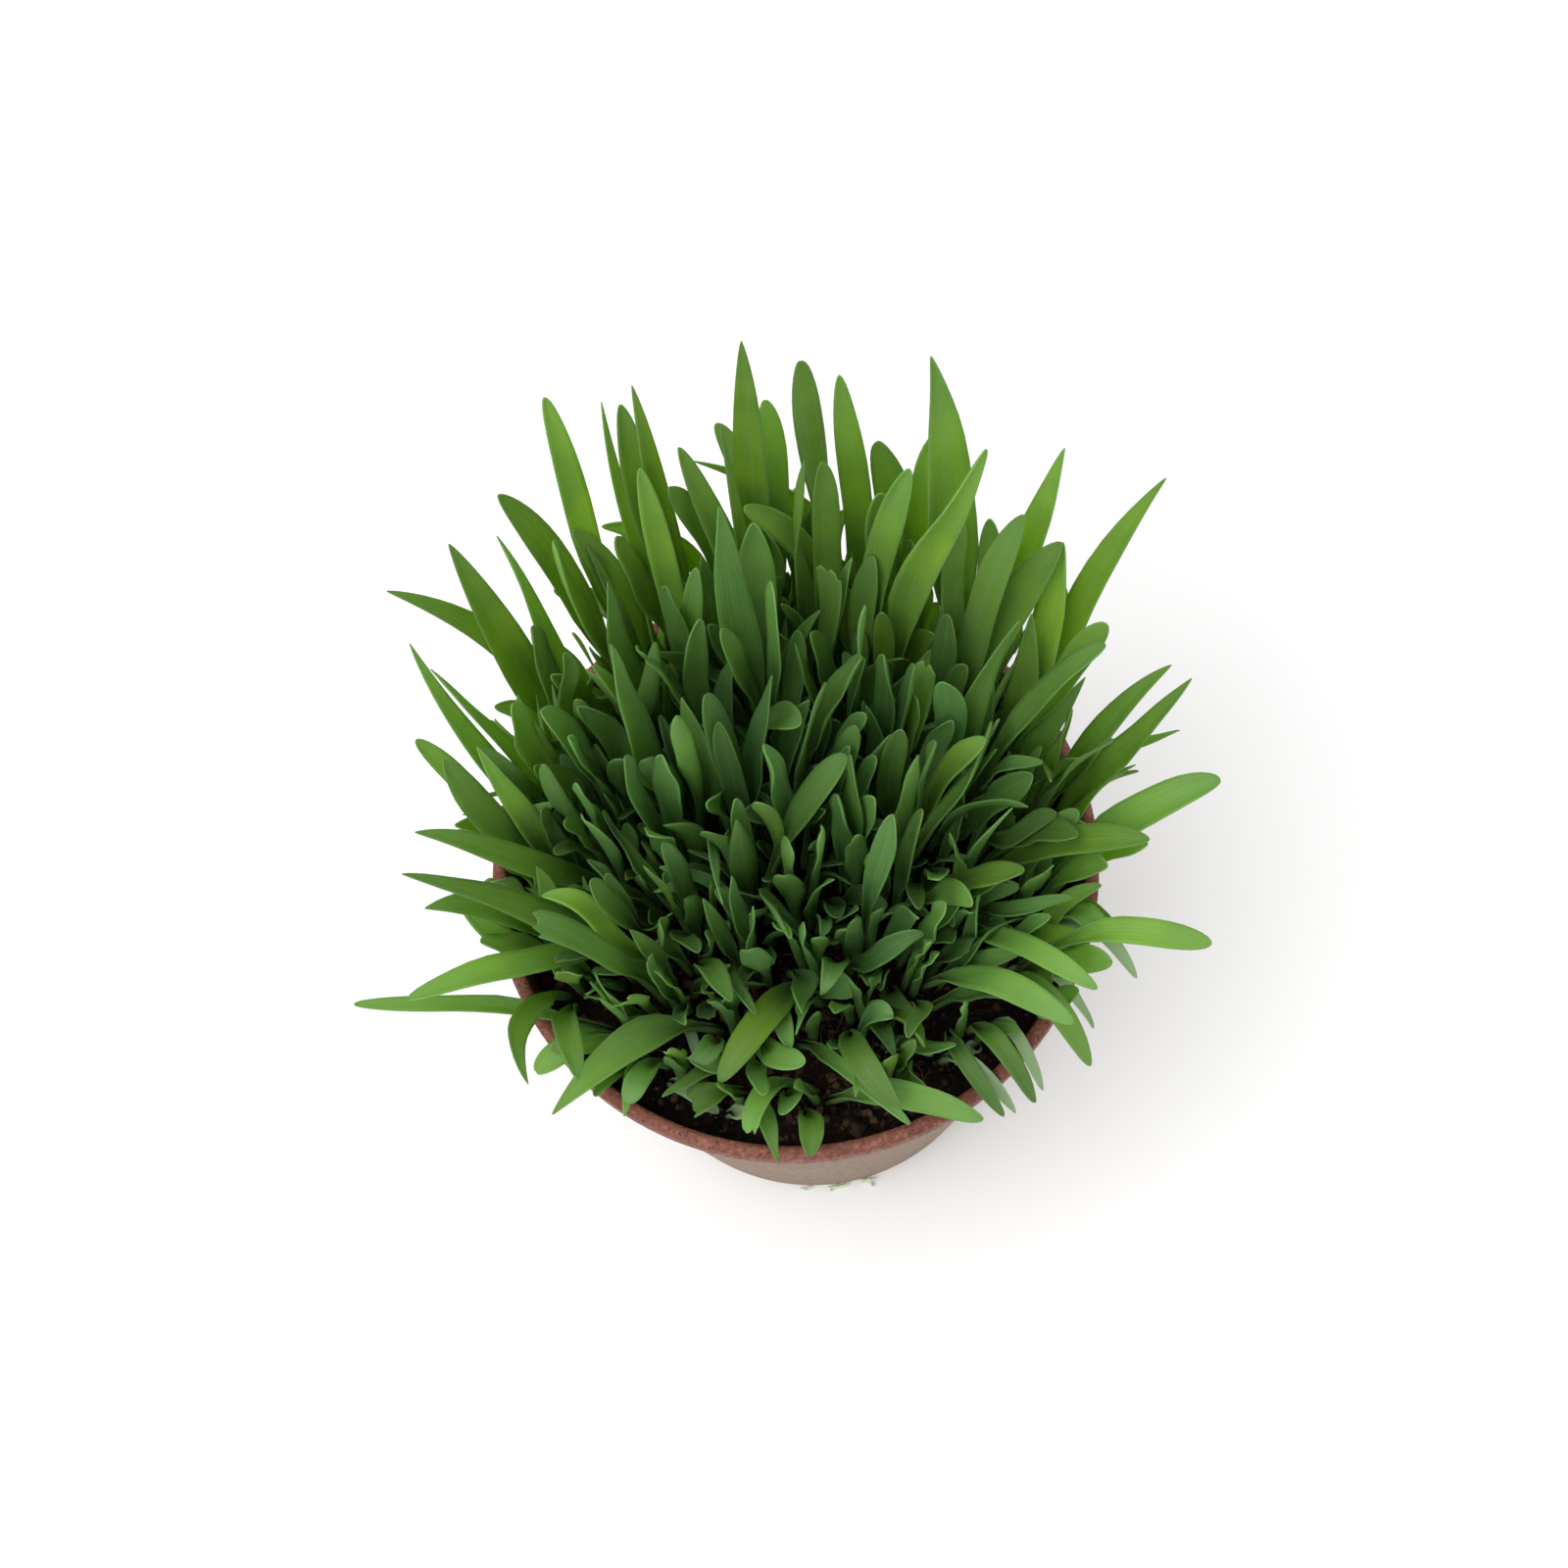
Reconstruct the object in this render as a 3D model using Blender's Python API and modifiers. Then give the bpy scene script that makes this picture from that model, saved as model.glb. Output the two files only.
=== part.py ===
"""Potted cat grass: a plastic nursery pot, a plug of potting soil and tufts of broad young leaves.

Metres, +Z up. The origin is the middle of the pot's underside, on the surface it stands on.
The front of the plant, its low and open side, faces -Y. Bearings are degrees counter-clockwise
from +X, so 90 is the tall back and 270 the front.
"""

import math
import random

import bmesh
import bpy
from mathutils import Vector
from mathutils.bvhtree import BVHTree

MM = 0.001

# pot
POT_HEIGHT = 104 * MM
RIM_RADIUS = 60 * MM
BASE_RADIUS = 43 * MM
WALL = 1.4 * MM
RIM_HEIGHT = 5 * MM
RIM_STEP = 1.2 * MM
RIM_LIP = 2.8 * MM
FLOOR = 1.5 * MM
FOOT_HEIGHT = 1.8 * MM
FOOT_WIDTH = 4 * MM
PAD_RADIUS = 15 * MM
DRAIN_HOLES = 6
DRAIN_DIAMETER = 9 * MM
POT_SEGMENTS = 36

# soil
SOIL_DROP = 10 * MM
SOIL_LUMP = 0.9 * MM
SOIL_RINGS = 4
FIT_GAP = 0.3 * MM

# tufts: one in the middle and rings of them around it, each ring as (share of soil radius, count)
TUFT_RINGS = ((0.0, 1), (0.2, 6), (0.41, 12), (0.62, 17), (0.83, 20))
TUFT_JITTER = 1.2 * MM
CROWN_RADIUS = 3 * MM
CROWN_DEPTH = 5 * MM
CROWN_RISE = 0.6 * MM
CROWN_SIDES = 6

# leaves
LEAF_HEIGHT = 48 * MM
RISE_TO_BACK = 0.42
FALL_TO_FRONT = 0.75
LEAF_THICKNESS = 1.0 * MM
STEM_WIDTH = 1.6 * MM
STEM_CIRCLE = 1.6 * MM
LEAF_GAP = 0.35 * MM
SOIL_CLEARANCE = 0.7 * MM
TIP_WIDTH = 0.5 * MM
FILL_SEED = 41
FILL_TRIES = 90
LEAVES_PER_TUFT = 4
LEADER_CROWNS = 4
BARE_FRONT = 33 * MM
LEAVES_IN_FRONT = 2

# a spine's bend, as shares of its run outwards and of its rise, and where along it the roll begins
BEND_RUN = 0.3
BEND_RISE = 0.62
ROLL_START = 0.1
KEEL_SHARE = 2 / 3

# how far a leaf of the outline may stray from its row where it has no room
STRAY_BEARING = 14
STRAY_OUT = 8 * MM
STRAY_HEIGHT = 9 * MM
STRAY_LIFT = 12 * MM
STRAY_ROLL = 60
STRAY_BOW = 14 * MM

# ordinary leaves: ranges of height and width, the spread of their bearings about straight
# outwards in the middle of the pot and at its wall, and their lean, roll, bow and lift, each
# with what it gains or loses where there is little room
FILLER_OUTLINES = ("spoon", "spoon", "strap", "lance")
FILLER_HEIGHTS = (0.75, 1.15)
FILLER_WIDTH = 1.5 * MM
FILLER_WIDTH_SHARES = (0.06, 0.11)
SPREAD_MIDDLE = 130
SPREAD_LOST_AT_WALL = 80
SPREAD_GAIN = 60
LEAN = 0.05
LEAN_AT_WALL = 0.14
LEAN_RANGE = (0.3, 1.1)
LEAN_SCATTER = 4 * MM
HEIGHT_GAIN = 0.2
FILLER_ROLL = 30
FILLER_ROLL_GAIN = 60
FILLER_BOW = 2 * MM
FILLER_BOW_GAIN = 6 * MM
FILLER_LIFT = 2 * MM
FILLER_LIFT_GAIN = 8 * MM
FILLER_SLIMMING = 0.3

# outline: (where the stem starts to widen, where it is full, where the tip begins, tip power, tip root)
OUTLINES = {
    "lance": (0.22, 0.50, 0.50, 1.5, 1.0),
    "strap": (0.20, 0.45, 0.74, 2.2, 0.6),
    "spoon": (0.42, 0.74, 0.76, 2.2, 0.5),
}
STATIONS = (0.0, 0.24, 0.48, 0.72, 0.9, 1.0)

# the leaves that give the plant its outline:
# outline, root bearing and ring, tip bearing, tip's distance out from the rim and height over it,
# width, how far the spine is lifted between root and tip, and how far the tip is rolled
LEADERS = (
    # the tallest and broadest
    ("lance", 38, 4, 54, -2, 107, 12, 0, 0),
    ("lance", 88, 4, 86, -6, 106, 8, 0, 0),
    ("spoon", 80, 4, 80, -8, 106, 8, 0, 10),
    ("strap", 66, 4, 70, -5, 92, 9, 0, 0),
    ("lance", 145, 4, 145, 5, 76, 11, 0, 0),
    ("lance", 160, 2, 150, -26, 70, 11, 0, 0),
    # left side, low and spreading
    ("spoon", 215, 4, 195, 28, 16, 4, 8, 0),
    ("strap", 210, 3, 200, 18, 26, 7, 8, 10),
    ("lance", 200, 4, 195, 10, 35, 7, 8, 0),
    ("lance", 205, 3, 190, 10, 50, 9, 6, 20),
    ("lance", 190, 3, 185, 6, 52, 9, 6, -10),
    ("strap", 215, 3, 205, -4, 58, 10, 12, 15),
    ("strap", 180, 4, 175, 0, 55, 9, 4, 0),
    ("lance", 160, 4, 160, 5, 60, 5, 0, 30),
    # back left
    ("lance", 155, 4, 155, 6, 65, 6, 0, -20),
    ("lance", 148, 4, 150, 14, 66, 8, 2, 10),
    ("lance", 140, 4, 137, 0, 70, 7, 0, 50),
    ("strap", 130, 4, 130, 5, 76, 10, 3, 0),
    ("spoon", 120, 4, 120, 5, 85, 7, 0, 20),
    ("lance", 115, 4, 116, 0, 86, 4, 0, 0),
    ("strap", 110, 4, 112, -4, 86, 9, 0, -10),
    ("lance", 105, 4, 110, -4, 95, 7, 0, 40),
    ("strap", 112, 3, 113, -6, 75, 7, 0, 0),
    ("strap", 100, 3, 99, -14, 86, 7, 0, 10),
    ("lance", 95, 3, 95, -14, 94, 4, 0, 40),
    ("strap", 78, 3, 76, -10, 80, 7, 0, 0),
    ("lance", 74, 3, 75, -14, 82, 5, 0, 80),
    # back right
    ("spoon", 60, 3, 59, -10, 76, 7, 0, -20),
    ("strap", 55, 4, 54, -5, 80, 8, 0, 0),
    ("strap", 50, 3, 50, -5, 82, 10, 0, 10),
    ("strap", 40, 3, 34, -5, 75, 9, 0, 0),
    ("lance", 38, 4, 34, 10, 80, 9, 0, 10),
    ("lance", 20, 4, 25, 18, 80, 9, 0, 0),
    ("strap", 30, 3, 29, 0, 66, 10, 0, 0),
    ("strap", 20, 4, 26, 2, 64, 9, 0, 0),
    ("spoon", 12, 4, 12, 2, 65, 6, 0, 30),
    ("lance", 8, 4, 5, 9, 60, 7, 0, 0),
    ("lance", 2, 4, 0, 14, 60, 8, 0, 10),
    ("spoon", 10, 3, 9, -3, 66, 6, 0, 0),
    # right side
    ("strap", 348, 4, 351, 19, 40, 10, 22, 0),
    ("spoon", 330, 4, 335, 22, 20, 8, 24, 0),
    ("strap", 340, 3, 342, 7, 40, 9, 14, 0),
    ("strap", 322, 4, 315, 11, 4, 6, 34, 0),
    ("strap", 324, 3, 320, 6, 26, 8, 18, 0),
    ("strap", 312, 4, 305, 7, 4, 5, 26, 0),
    ("strap", 305, 4, 300, 6, -2, 4, 20, 0),
    ("strap", 305, 3, 315, 6, 25, 10, 14, 0),
    ("spoon", 345, 3, 345, -5, 36, 8, 6, 0),
    ("spoon", 338, 4, 340, 1, 34, 8, 8, 20),
    ("spoon", 325, 2, 331, -13, 36, 8, 6, 0),
    ("spoon", 320, 2, 324, -19, 34, 8, 4, 30),
    # front, sparse and lying outwards
    ("strap", 264, 4, 296, 5, 10, 8, 12, 40),
    ("strap", 282, 3, 288, 0, 12, 9, 16, 0),
    ("strap", 268, 3, 284, 0, 8, 4, 14, 0),
    ("strap", 266, 4, 268, 0, 6, 8, 12, 0),
    ("lance", 256, 4, 260, 1, 2, 5, 14, 0),
    ("lance", 238, 3, 225, 10, 15, 9, 12, 0),
    ("spoon", 220, 4, 215, 6, 6, 8, 16, 0),
    ("spoon", 250, 3, 232, -6, 2, 9, 10, 0),
    ("strap", 255, 2, 248, -10, 12, 8, 16, 0),
    # middle
    ("lance", 90, 2, 100, -25, 86, 10, 0, 0),
    ("spoon", 85, 2, 84, -34, 66, 8, 0, 0),
    ("lance", 140, 1, 85, -48, 60, 9, 0, 0),
    ("strap", 90, 1, 35, -38, 60, 8, 12, 0),
    ("spoon", 110, 2, 60, -48, 48, 7, 8, 0),
    ("spoon", 240, 1, 10, -48, 45, 7, 6, 0),
    ("spoon", 165, 3, 160, -18, 56, 10, 0, 0),
    ("lance", 15, 2, 28, -25, 60, 8, 0, 40),
    ("strap", 350, 2, 2, -24, 46, 8, 10, 0),
    ("lance", 15, 3, 20, -17, 66, 6, 0, 50),
    ("spoon", 310, 2, 325, -37, 50, 6, 0, 20),
)

UP = Vector((0, 0, 1))


def polar(bearing, radius, z=0.0):
    """The point at a bearing in degrees and a distance from the pot's axis."""
    turn = math.radians(bearing)
    return Vector((radius * math.cos(turn), radius * math.sin(turn), z))


def smooth_step(low, high, value):
    """0 below low, 1 above high and an even rise between."""
    share = min(max((value - low) / (high - low), 0.0), 1.0)
    return share * share * (3 - 2 * share)


# sizes that follow from the driving dimensions

FLOOR_TOP = FOOT_HEIGHT + FLOOR
SOIL_TOP = POT_HEIGHT - SOIL_DROP
WALL_TOP_RADIUS = RIM_RADIUS - RIM_STEP


def outer_radius(z):
    """The straight taper of the wall's outer face."""
    return BASE_RADIUS + (WALL_TOP_RADIUS - BASE_RADIUS) * z / POT_HEIGHT


def inner_radius(z):
    """The wall's inner face."""
    return outer_radius(z) - WALL


def soil_radius(z):
    """The soil's side, a fit gap inside the wall."""
    return inner_radius(z) - FIT_GAP


def soil_height(x, y):
    """The soil's gently uneven top."""
    across = math.sin(x / (9 * MM) + 0.6) * math.cos(y / (11 * MM))
    along = math.sin(y / (16 * MM) - x / (23 * MM))
    return SOIL_TOP + SOIL_LUMP * 0.5 * (across + along)


def tuft_places():
    """The crowns' places on the soil, in rings, each a little off its even place."""
    scatter = random.Random(FILL_SEED)
    places = []
    for ring, (share, count) in enumerate(TUFT_RINGS):
        radius = share * soil_radius(SOIL_TOP)
        for k in range(count):
            bearing = 360 * (k + 0.5 * (ring % 2)) / count
            place = polar(bearing, radius)
            place.x += scatter.uniform(-TUFT_JITTER, TUFT_JITTER)
            place.y += scatter.uniform(-TUFT_JITTER, TUFT_JITTER)
            place.z = soil_height(place.x, place.y)
            places.append(place)
    return places


class Leaf:
    """One leaf with its stem: a bent spine from the crown to the tip, and a width along it."""

    def __init__(self, root, tip, width, lift, roll, outline, bow=0.0):
        self.root = root
        self.tip = tip
        self.width = width
        self.roll = math.radians(roll)
        self.outline = outline
        run = Vector((tip.x - root.x, tip.y - root.y, 0))
        self.lean = run.normalized() if run.length > 1 * MM else Vector((0, 1, 0))
        side = UP.cross(self.lean)
        rise = (tip.z - root.z) * BEND_RISE + lift
        self.bend = root + run * BEND_RUN + UP * rise + side * bow

    def spine(self, t):
        """The spine's point at t, from 0 at the root to 1 at the tip."""
        return (1 - t) ** 2 * self.root + 2 * t * (1 - t) * self.bend + t * t * self.tip

    def frame(self, t):
        """The directions across the leaf and out of its upper face at t."""
        along = (2 * (1 - t) * (self.bend - self.root) + 2 * t * (self.tip - self.bend)).normalized()
        side = UP.cross(self.lean)
        side = (side - along * side.dot(along)).normalized()
        face = along.cross(side)
        turn = self.roll * smooth_step(ROLL_START, 1.0, t)
        across = side * math.cos(turn) + face * math.sin(turn)
        return across, along.cross(across)

    def width_at(self, t):
        """The full width at t: a narrow stem, the blade, and its tip."""
        start, full, taper, power, root = OUTLINES[self.outline]
        blade = STEM_WIDTH + (self.width - STEM_WIDTH) * smooth_step(start, full, t)
        past = max(0.0, (t - taper) / (1 - taper))
        return blade * (1 - past**power) ** root

    def thickness_at(self, t):
        """Round at the stem and flat in the blade."""
        start, full = OUTLINES[self.outline][:2]
        return STEM_WIDTH + (LEAF_THICKNESS - STEM_WIDTH) * smooth_step(start * 0.5, full, t)

    def rings(self, grow=0.0):
        """Three corners at each station, both edges and the keel, grown by a clearance."""
        corners = []
        for t in STATIONS:
            point = self.spine(t)
            across, face = self.frame(t)
            half = max(self.width_at(t) / 2, TIP_WIDTH / 2) + grow
            edge = point + face * (self.thickness_at(t) * (1 - KEEL_SHARE) + grow)
            keel = point - face * (self.thickness_at(t) * KEEL_SHARE + grow)
            corners.append((edge + across * half, edge - across * half, keel))
        return corners


def ring_mesh(rings):
    """Corners and faces of the closed body through a row of three-cornered rings."""
    points = [corner for ring in rings for corner in ring]
    faces = [(2, 1, 0)]
    for low in range(0, len(points) - 3, 3):
        for side in range(3):
            after = (side + 1) % 3
            faces.append((low + side, low + after, low + 3 + after, low + 3 + side))
    last = len(points) - 3
    faces.append((last, last + 1, last + 2))
    return points, faces


def clear_of_pot(rings, crown):
    """Whether a leaf's edges pass over the rim and, past its own crown, stay above the soil."""
    steps = 6
    for low, high in zip(rings, rings[1:]):
        for start, end in zip(low, high):
            for k in range(1, steps + 1):
                point = start.lerp(end, k / steps)
                radius = math.hypot(point.x, point.y)
                if radius > RIM_RADIUS + LEAF_GAP:
                    lowest = LEAF_GAP
                elif radius > RIM_RADIUS - RIM_LIP - LEAF_GAP:
                    lowest = POT_HEIGHT + LEAF_GAP
                elif (point.xy - crown.xy).length > CROWN_RADIUS * math.cos(math.pi / CROWN_SIDES):
                    lowest = soil_height(point.x, point.y) + SOIL_CLEARANCE
                else:
                    lowest = 0
                if point.z < lowest:
                    return False
    return True


class Meadow:
    """The leaves that stand so far. A new one must pass between them."""

    def __init__(self):
        self.shapes = []

    def has_room(self, leaf, crown):
        """Whether a leaf clears the pot, the soil and every leaf that stands."""
        grown = leaf.rings(LEAF_GAP)
        if not clear_of_pot(grown, crown):
            return False
        shape = BVHTree.FromPolygons(*ring_mesh(grown))
        return not any(shape.overlap(other) for other in self.shapes)

    def add(self, leaf):
        self.shapes.append(BVHTree.FromPolygons(*ring_mesh(leaf.rings())))


class Tuft:
    """A crown with a few spots around its middle, each for one stem."""

    def __init__(self, place):
        self.place = place
        self.leaves = []
        outward = math.degrees(math.atan2(place.y, place.x))
        self.spots = [
            polar(outward + 360 * (k + 0.5) / LEAVES_PER_TUFT, STEM_CIRCLE)
            for k in range(LEAVES_PER_TUFT)
        ]
        self.wanted = LEAVES_IN_FRONT if place.y < -BARE_FRONT else LEAVES_PER_TUFT

    def spot_towards(self, tip):
        """The free spot that faces a leaf's tip best."""
        return max(self.spots, key=lambda spot: spot.dot(tip - self.place))

    def settle(self, meadow, make_tip_and_leaf, chance):
        """Tries a leaf as wished, then ever freer, and keeps the first one that has room."""
        for k in range(FILL_TRIES):
            tip, make_leaf = make_tip_and_leaf(chance, k / FILL_TRIES)
            spot = self.spot_towards(tip)
            leaf = make_leaf(self.place + spot)
            if meadow.has_room(leaf, self.place):
                meadow.add(leaf)
                self.leaves.append(leaf)
                self.spots.remove(spot)
                return True
        return False


def leader_maker(row):
    """A function that makes the leaf of a LEADERS row, looser as its second value rises."""
    outline, _, _, bearing, out, height, width, lift, roll = row

    def make(chance, loose):
        drift = loose * loose
        tip = polar(
            bearing + STRAY_BEARING * drift * chance.uniform(-1, 1),
            RIM_RADIUS + out * MM + STRAY_OUT * drift * chance.uniform(-1, 1),
            POT_HEIGHT + height * MM + STRAY_HEIGHT * drift * chance.uniform(-1, 1),
        )
        rise = lift * MM + STRAY_LIFT * loose * chance.uniform(-0.3, 1)
        turn = roll + STRAY_ROLL * loose * chance.uniform(-1, 1)
        bow = STRAY_BOW * loose * chance.uniform(-1, 1)
        return tip, lambda root: Leaf(root, tip, width * MM, rise, turn, outline, bow)

    return make


def filler_maker(place, chance):
    """A function that makes an ordinary leaf for a crown, shorter towards the front."""
    outward = math.degrees(math.atan2(place.y, place.x))
    share = math.hypot(place.x, place.y) / soil_radius(SOIL_TOP)
    outline = chance.choice(FILLER_OUTLINES)
    slope = RISE_TO_BACK if place.y > 0 else FALL_TO_FRONT
    height = (LEAF_HEIGHT + slope * place.y) * chance.uniform(*FILLER_HEIGHTS)
    width = FILLER_WIDTH + (height + SOIL_DROP) * chance.uniform(*FILLER_WIDTH_SHARES)
    spread = SPREAD_MIDDLE - SPREAD_LOST_AT_WALL * share

    def make(chance, loose):
        bearing = outward + (spread + SPREAD_GAIN * loose) * chance.uniform(-1, 1)
        lean = LEAN + LEAN_AT_WALL * share * chance.uniform(*LEAN_RANGE)
        tip = place + polar(bearing, height * lean + LEAN_SCATTER * chance.random())
        tip.z = POT_HEIGHT + height * (1 + HEIGHT_GAIN * loose * chance.uniform(-1, 1))
        roll = (FILLER_ROLL + FILLER_ROLL_GAIN * loose) * chance.uniform(-1, 1)
        bow = (FILLER_BOW + FILLER_BOW_GAIN * loose) * chance.uniform(-1, 1)
        lift = (FILLER_LIFT + FILLER_LIFT_GAIN * loose) * chance.random()
        slim = width * (1 - FILLER_SLIMMING * loose)
        return tip, lambda root: Leaf(root, tip, slim, lift, roll, outline, bow)

    return make


def add_filler(meadow, tufts, number, turn):
    """One more ordinary leaf on a tuft, if there is room for it."""
    tuft = tufts[number]
    chance = random.Random(FILL_SEED * 1000 + number * 10 + turn)
    tuft.settle(meadow, filler_maker(tuft.place, chance), chance)


def grow_tufts():
    """All tufts with their leaves: a first leaf in the bare front, the leaders, the fillers."""
    meadow = Meadow()
    tufts = [Tuft(place) for place in tuft_places()]
    for number, tuft in enumerate(tufts):
        if tuft.wanted == LEAVES_IN_FRONT:
            add_filler(meadow, tufts, number, 0)
    for number, row in enumerate(LEADERS):
        start = polar(row[1], TUFT_RINGS[row[2]][0] * soil_radius(SOIL_TOP))
        near = sorted(tufts, key=lambda tuft: (tuft.place.xy - start.xy).length)
        chance = random.Random(FILL_SEED + number)
        for tuft in near[:LEADER_CROWNS]:
            if tuft.spots and tuft.settle(meadow, leader_maker(row), chance):
                break
    for turn in range(LEAVES_PER_TUFT):
        for number, tuft in enumerate(tufts):
            if len(tuft.leaves) <= turn < tuft.wanted:
                add_filler(meadow, tufts, number, turn)
    return tufts


# Blender objects


def clear_scene():
    for obj in list(bpy.data.objects):
        bpy.data.objects.remove(obj)


def new_collection(name):
    collection = bpy.data.collections.new(name)
    bpy.context.scene.collection.children.link(collection)
    return collection


def new_material(name, colour, roughness):
    material = bpy.data.materials.new(name)
    material.use_nodes = True
    shader = material.node_tree.nodes["Principled BSDF"]
    shader.inputs["Base Color"].default_value = (*colour, 1)
    shader.inputs["Roughness"].default_value = roughness
    shader.inputs["Metallic"].default_value = 0.0
    return material


def new_object(name, mesh, collection, material=None):
    obj = bpy.data.objects.new(name, mesh)
    collection.objects.link(obj)
    if material:
        mesh.materials.append(material)
    return obj


def hide_tool(obj):
    """Marks an object that only cuts or joins others."""
    obj.hide_render = True
    obj.display_type = "WIRE"


def add_boolean(obj, other, operation):
    modifier = obj.modifiers.new(operation.title(), "BOOLEAN")
    modifier.operation = operation
    modifier.solver = "EXACT"
    modifier.object = other
    return modifier


def turned_mesh(name, profile):
    """An open profile of (radius, height) points as a wire for a Screw modifier."""
    mesh = bpy.data.meshes.new(name)
    shape = bmesh.new()
    points = [shape.verts.new((radius, 0, z)) for radius, z in profile]
    for start, end in zip(points, points[1:]):
        shape.edges.new((start, end))
    shape.to_mesh(mesh)
    shape.free()
    return mesh


def add_screw(obj, segments):
    modifier = obj.modifiers.new("Turn", "SCREW")
    modifier.steps = segments
    modifier.render_steps = segments
    modifier.use_merge_vertices = True
    modifier.merge_threshold = 0.00001
    modifier.use_smooth_shade = True


def pot_profile():
    """Up the inside, over the rolled rim, down the outside and in under the foot to the axis."""
    rim_low = POT_HEIGHT - RIM_HEIGHT
    lip_inner = RIM_RADIUS - RIM_LIP
    edge = 0.8 * MM
    recess_outer = BASE_RADIUS - FOOT_WIDTH
    return (
        (0, FLOOR_TOP),
        (inner_radius(FLOOR_TOP), FLOOR_TOP),
        (inner_radius(rim_low), rim_low),
        (lip_inner, POT_HEIGHT - edge),
        (lip_inner + edge, POT_HEIGHT),
        (RIM_RADIUS - edge, POT_HEIGHT),
        (RIM_RADIUS, POT_HEIGHT - edge),
        (RIM_RADIUS - 0.2 * MM, rim_low + edge),
        (outer_radius(rim_low), rim_low),
        (BASE_RADIUS, edge),
        (BASE_RADIUS - edge, 0),
        (recess_outer, 0),
        (recess_outer - edge, FOOT_HEIGHT),
        (PAD_RADIUS + edge, FOOT_HEIGHT),
        (PAD_RADIUS, 0),
        (0, 0),
    )


def make_drain_cutter(tools):
    """One peg for each drain hole, on a circle between the pad and the foot."""
    circle = (PAD_RADIUS + BASE_RADIUS - FOOT_WIDTH) / 2
    shape = bmesh.new()
    for k in range(DRAIN_HOLES):
        peg = bmesh.ops.create_cone(
            shape,
            cap_ends=True,
            segments=12,
            radius1=DRAIN_DIAMETER / 2,
            radius2=DRAIN_DIAMETER / 2,
            depth=FLOOR * 3,
        )
        place = polar(360 * (k + 0.5) / DRAIN_HOLES, circle, FOOT_HEIGHT + FLOOR / 2)
        bmesh.ops.translate(shape, verts=peg["verts"], vec=place)
    mesh = bpy.data.meshes.new("drain_cutter")
    shape.to_mesh(mesh)
    shape.free()
    cutter = new_object("drain_cutter", mesh, tools)
    hide_tool(cutter)
    return cutter


def make_pot(parts, tools):
    material = new_material("pot_plastic", (0.37, 0.27, 0.22), 0.6)
    pot = new_object("pot", turned_mesh("pot", pot_profile()), parts, material)
    add_screw(pot, POT_SEGMENTS)
    add_boolean(pot, make_drain_cutter(tools), "DIFFERENCE")
    return pot


def soil_profile():
    """The plug's half section: its top from the axis to the wall, its side, and its underside."""
    bottom = FLOOR_TOP + FIT_GAP
    top_radius = soil_radius(SOIL_TOP)
    rows = [(top_radius * k / SOIL_RINGS, SOIL_TOP) for k in range(SOIL_RINGS + 1)]
    return rows + [(soil_radius(bottom), bottom), (0, bottom)]


def make_soil(parts, tools, tufts):
    """The plug of soil: turned, its top made uneven, with a socket for each crown."""
    shape = bmesh.new()
    points = [shape.verts.new((radius, 0, z)) for radius, z in soil_profile()]
    edges = [shape.edges.new(pair) for pair in zip(points, points[1:])]
    bmesh.ops.spin(
        shape,
        geom=points + edges,
        axis=(0, 0, 1),
        cent=(0, 0, 0),
        steps=POT_SEGMENTS,
        angle=math.tau,
    )
    bmesh.ops.remove_doubles(shape, verts=shape.verts, dist=0.01 * MM)
    for point in shape.verts:
        radius = math.hypot(point.co.x, point.co.y)
        if point.co.z > SOIL_TOP - 1 * MM and radius < soil_radius(SOIL_TOP) - 1 * MM:
            point.co.z = soil_height(point.co.x, point.co.y)
    bmesh.ops.recalc_face_normals(shape, faces=shape.faces)
    mesh = bpy.data.meshes.new("potting_soil")
    shape.to_mesh(mesh)
    shape.free()
    material = new_material("soil_mix", (0.045, 0.03, 0.02), 0.95)
    soil = new_object("potting_soil", mesh, parts, material)
    add_boolean(soil, make_socket_cutter(tools, tufts), "DIFFERENCE")
    return soil


def add_peg(shape, place, radius, gap, low, high):
    """An upright peg round a crown's place, its flats a gap outside a peg of the radius."""
    corner = radius + gap / math.cos(math.pi / CROWN_SIDES)
    peg = bmesh.ops.create_cone(
        shape,
        cap_ends=True,
        segments=CROWN_SIDES,
        radius1=corner,
        radius2=corner,
        depth=high - low,
    )
    middle = Vector((place.x, place.y, place.z + (low + high) / 2))
    bmesh.ops.translate(shape, verts=peg["verts"], vec=middle)


def make_socket_cutter(tools, tufts):
    """A hole for each crown, a fit gap wider and deeper than the crown."""
    shape = bmesh.new()
    for tuft in tufts:
        add_peg(shape, tuft.place, CROWN_RADIUS, FIT_GAP, -CROWN_DEPTH - FIT_GAP, CROWN_RISE + SOIL_LUMP)
    mesh = bpy.data.meshes.new("socket_cutter")
    shape.to_mesh(mesh)
    shape.free()
    cutter = new_object("socket_cutter", mesh, tools)
    hide_tool(cutter)
    return cutter


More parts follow.
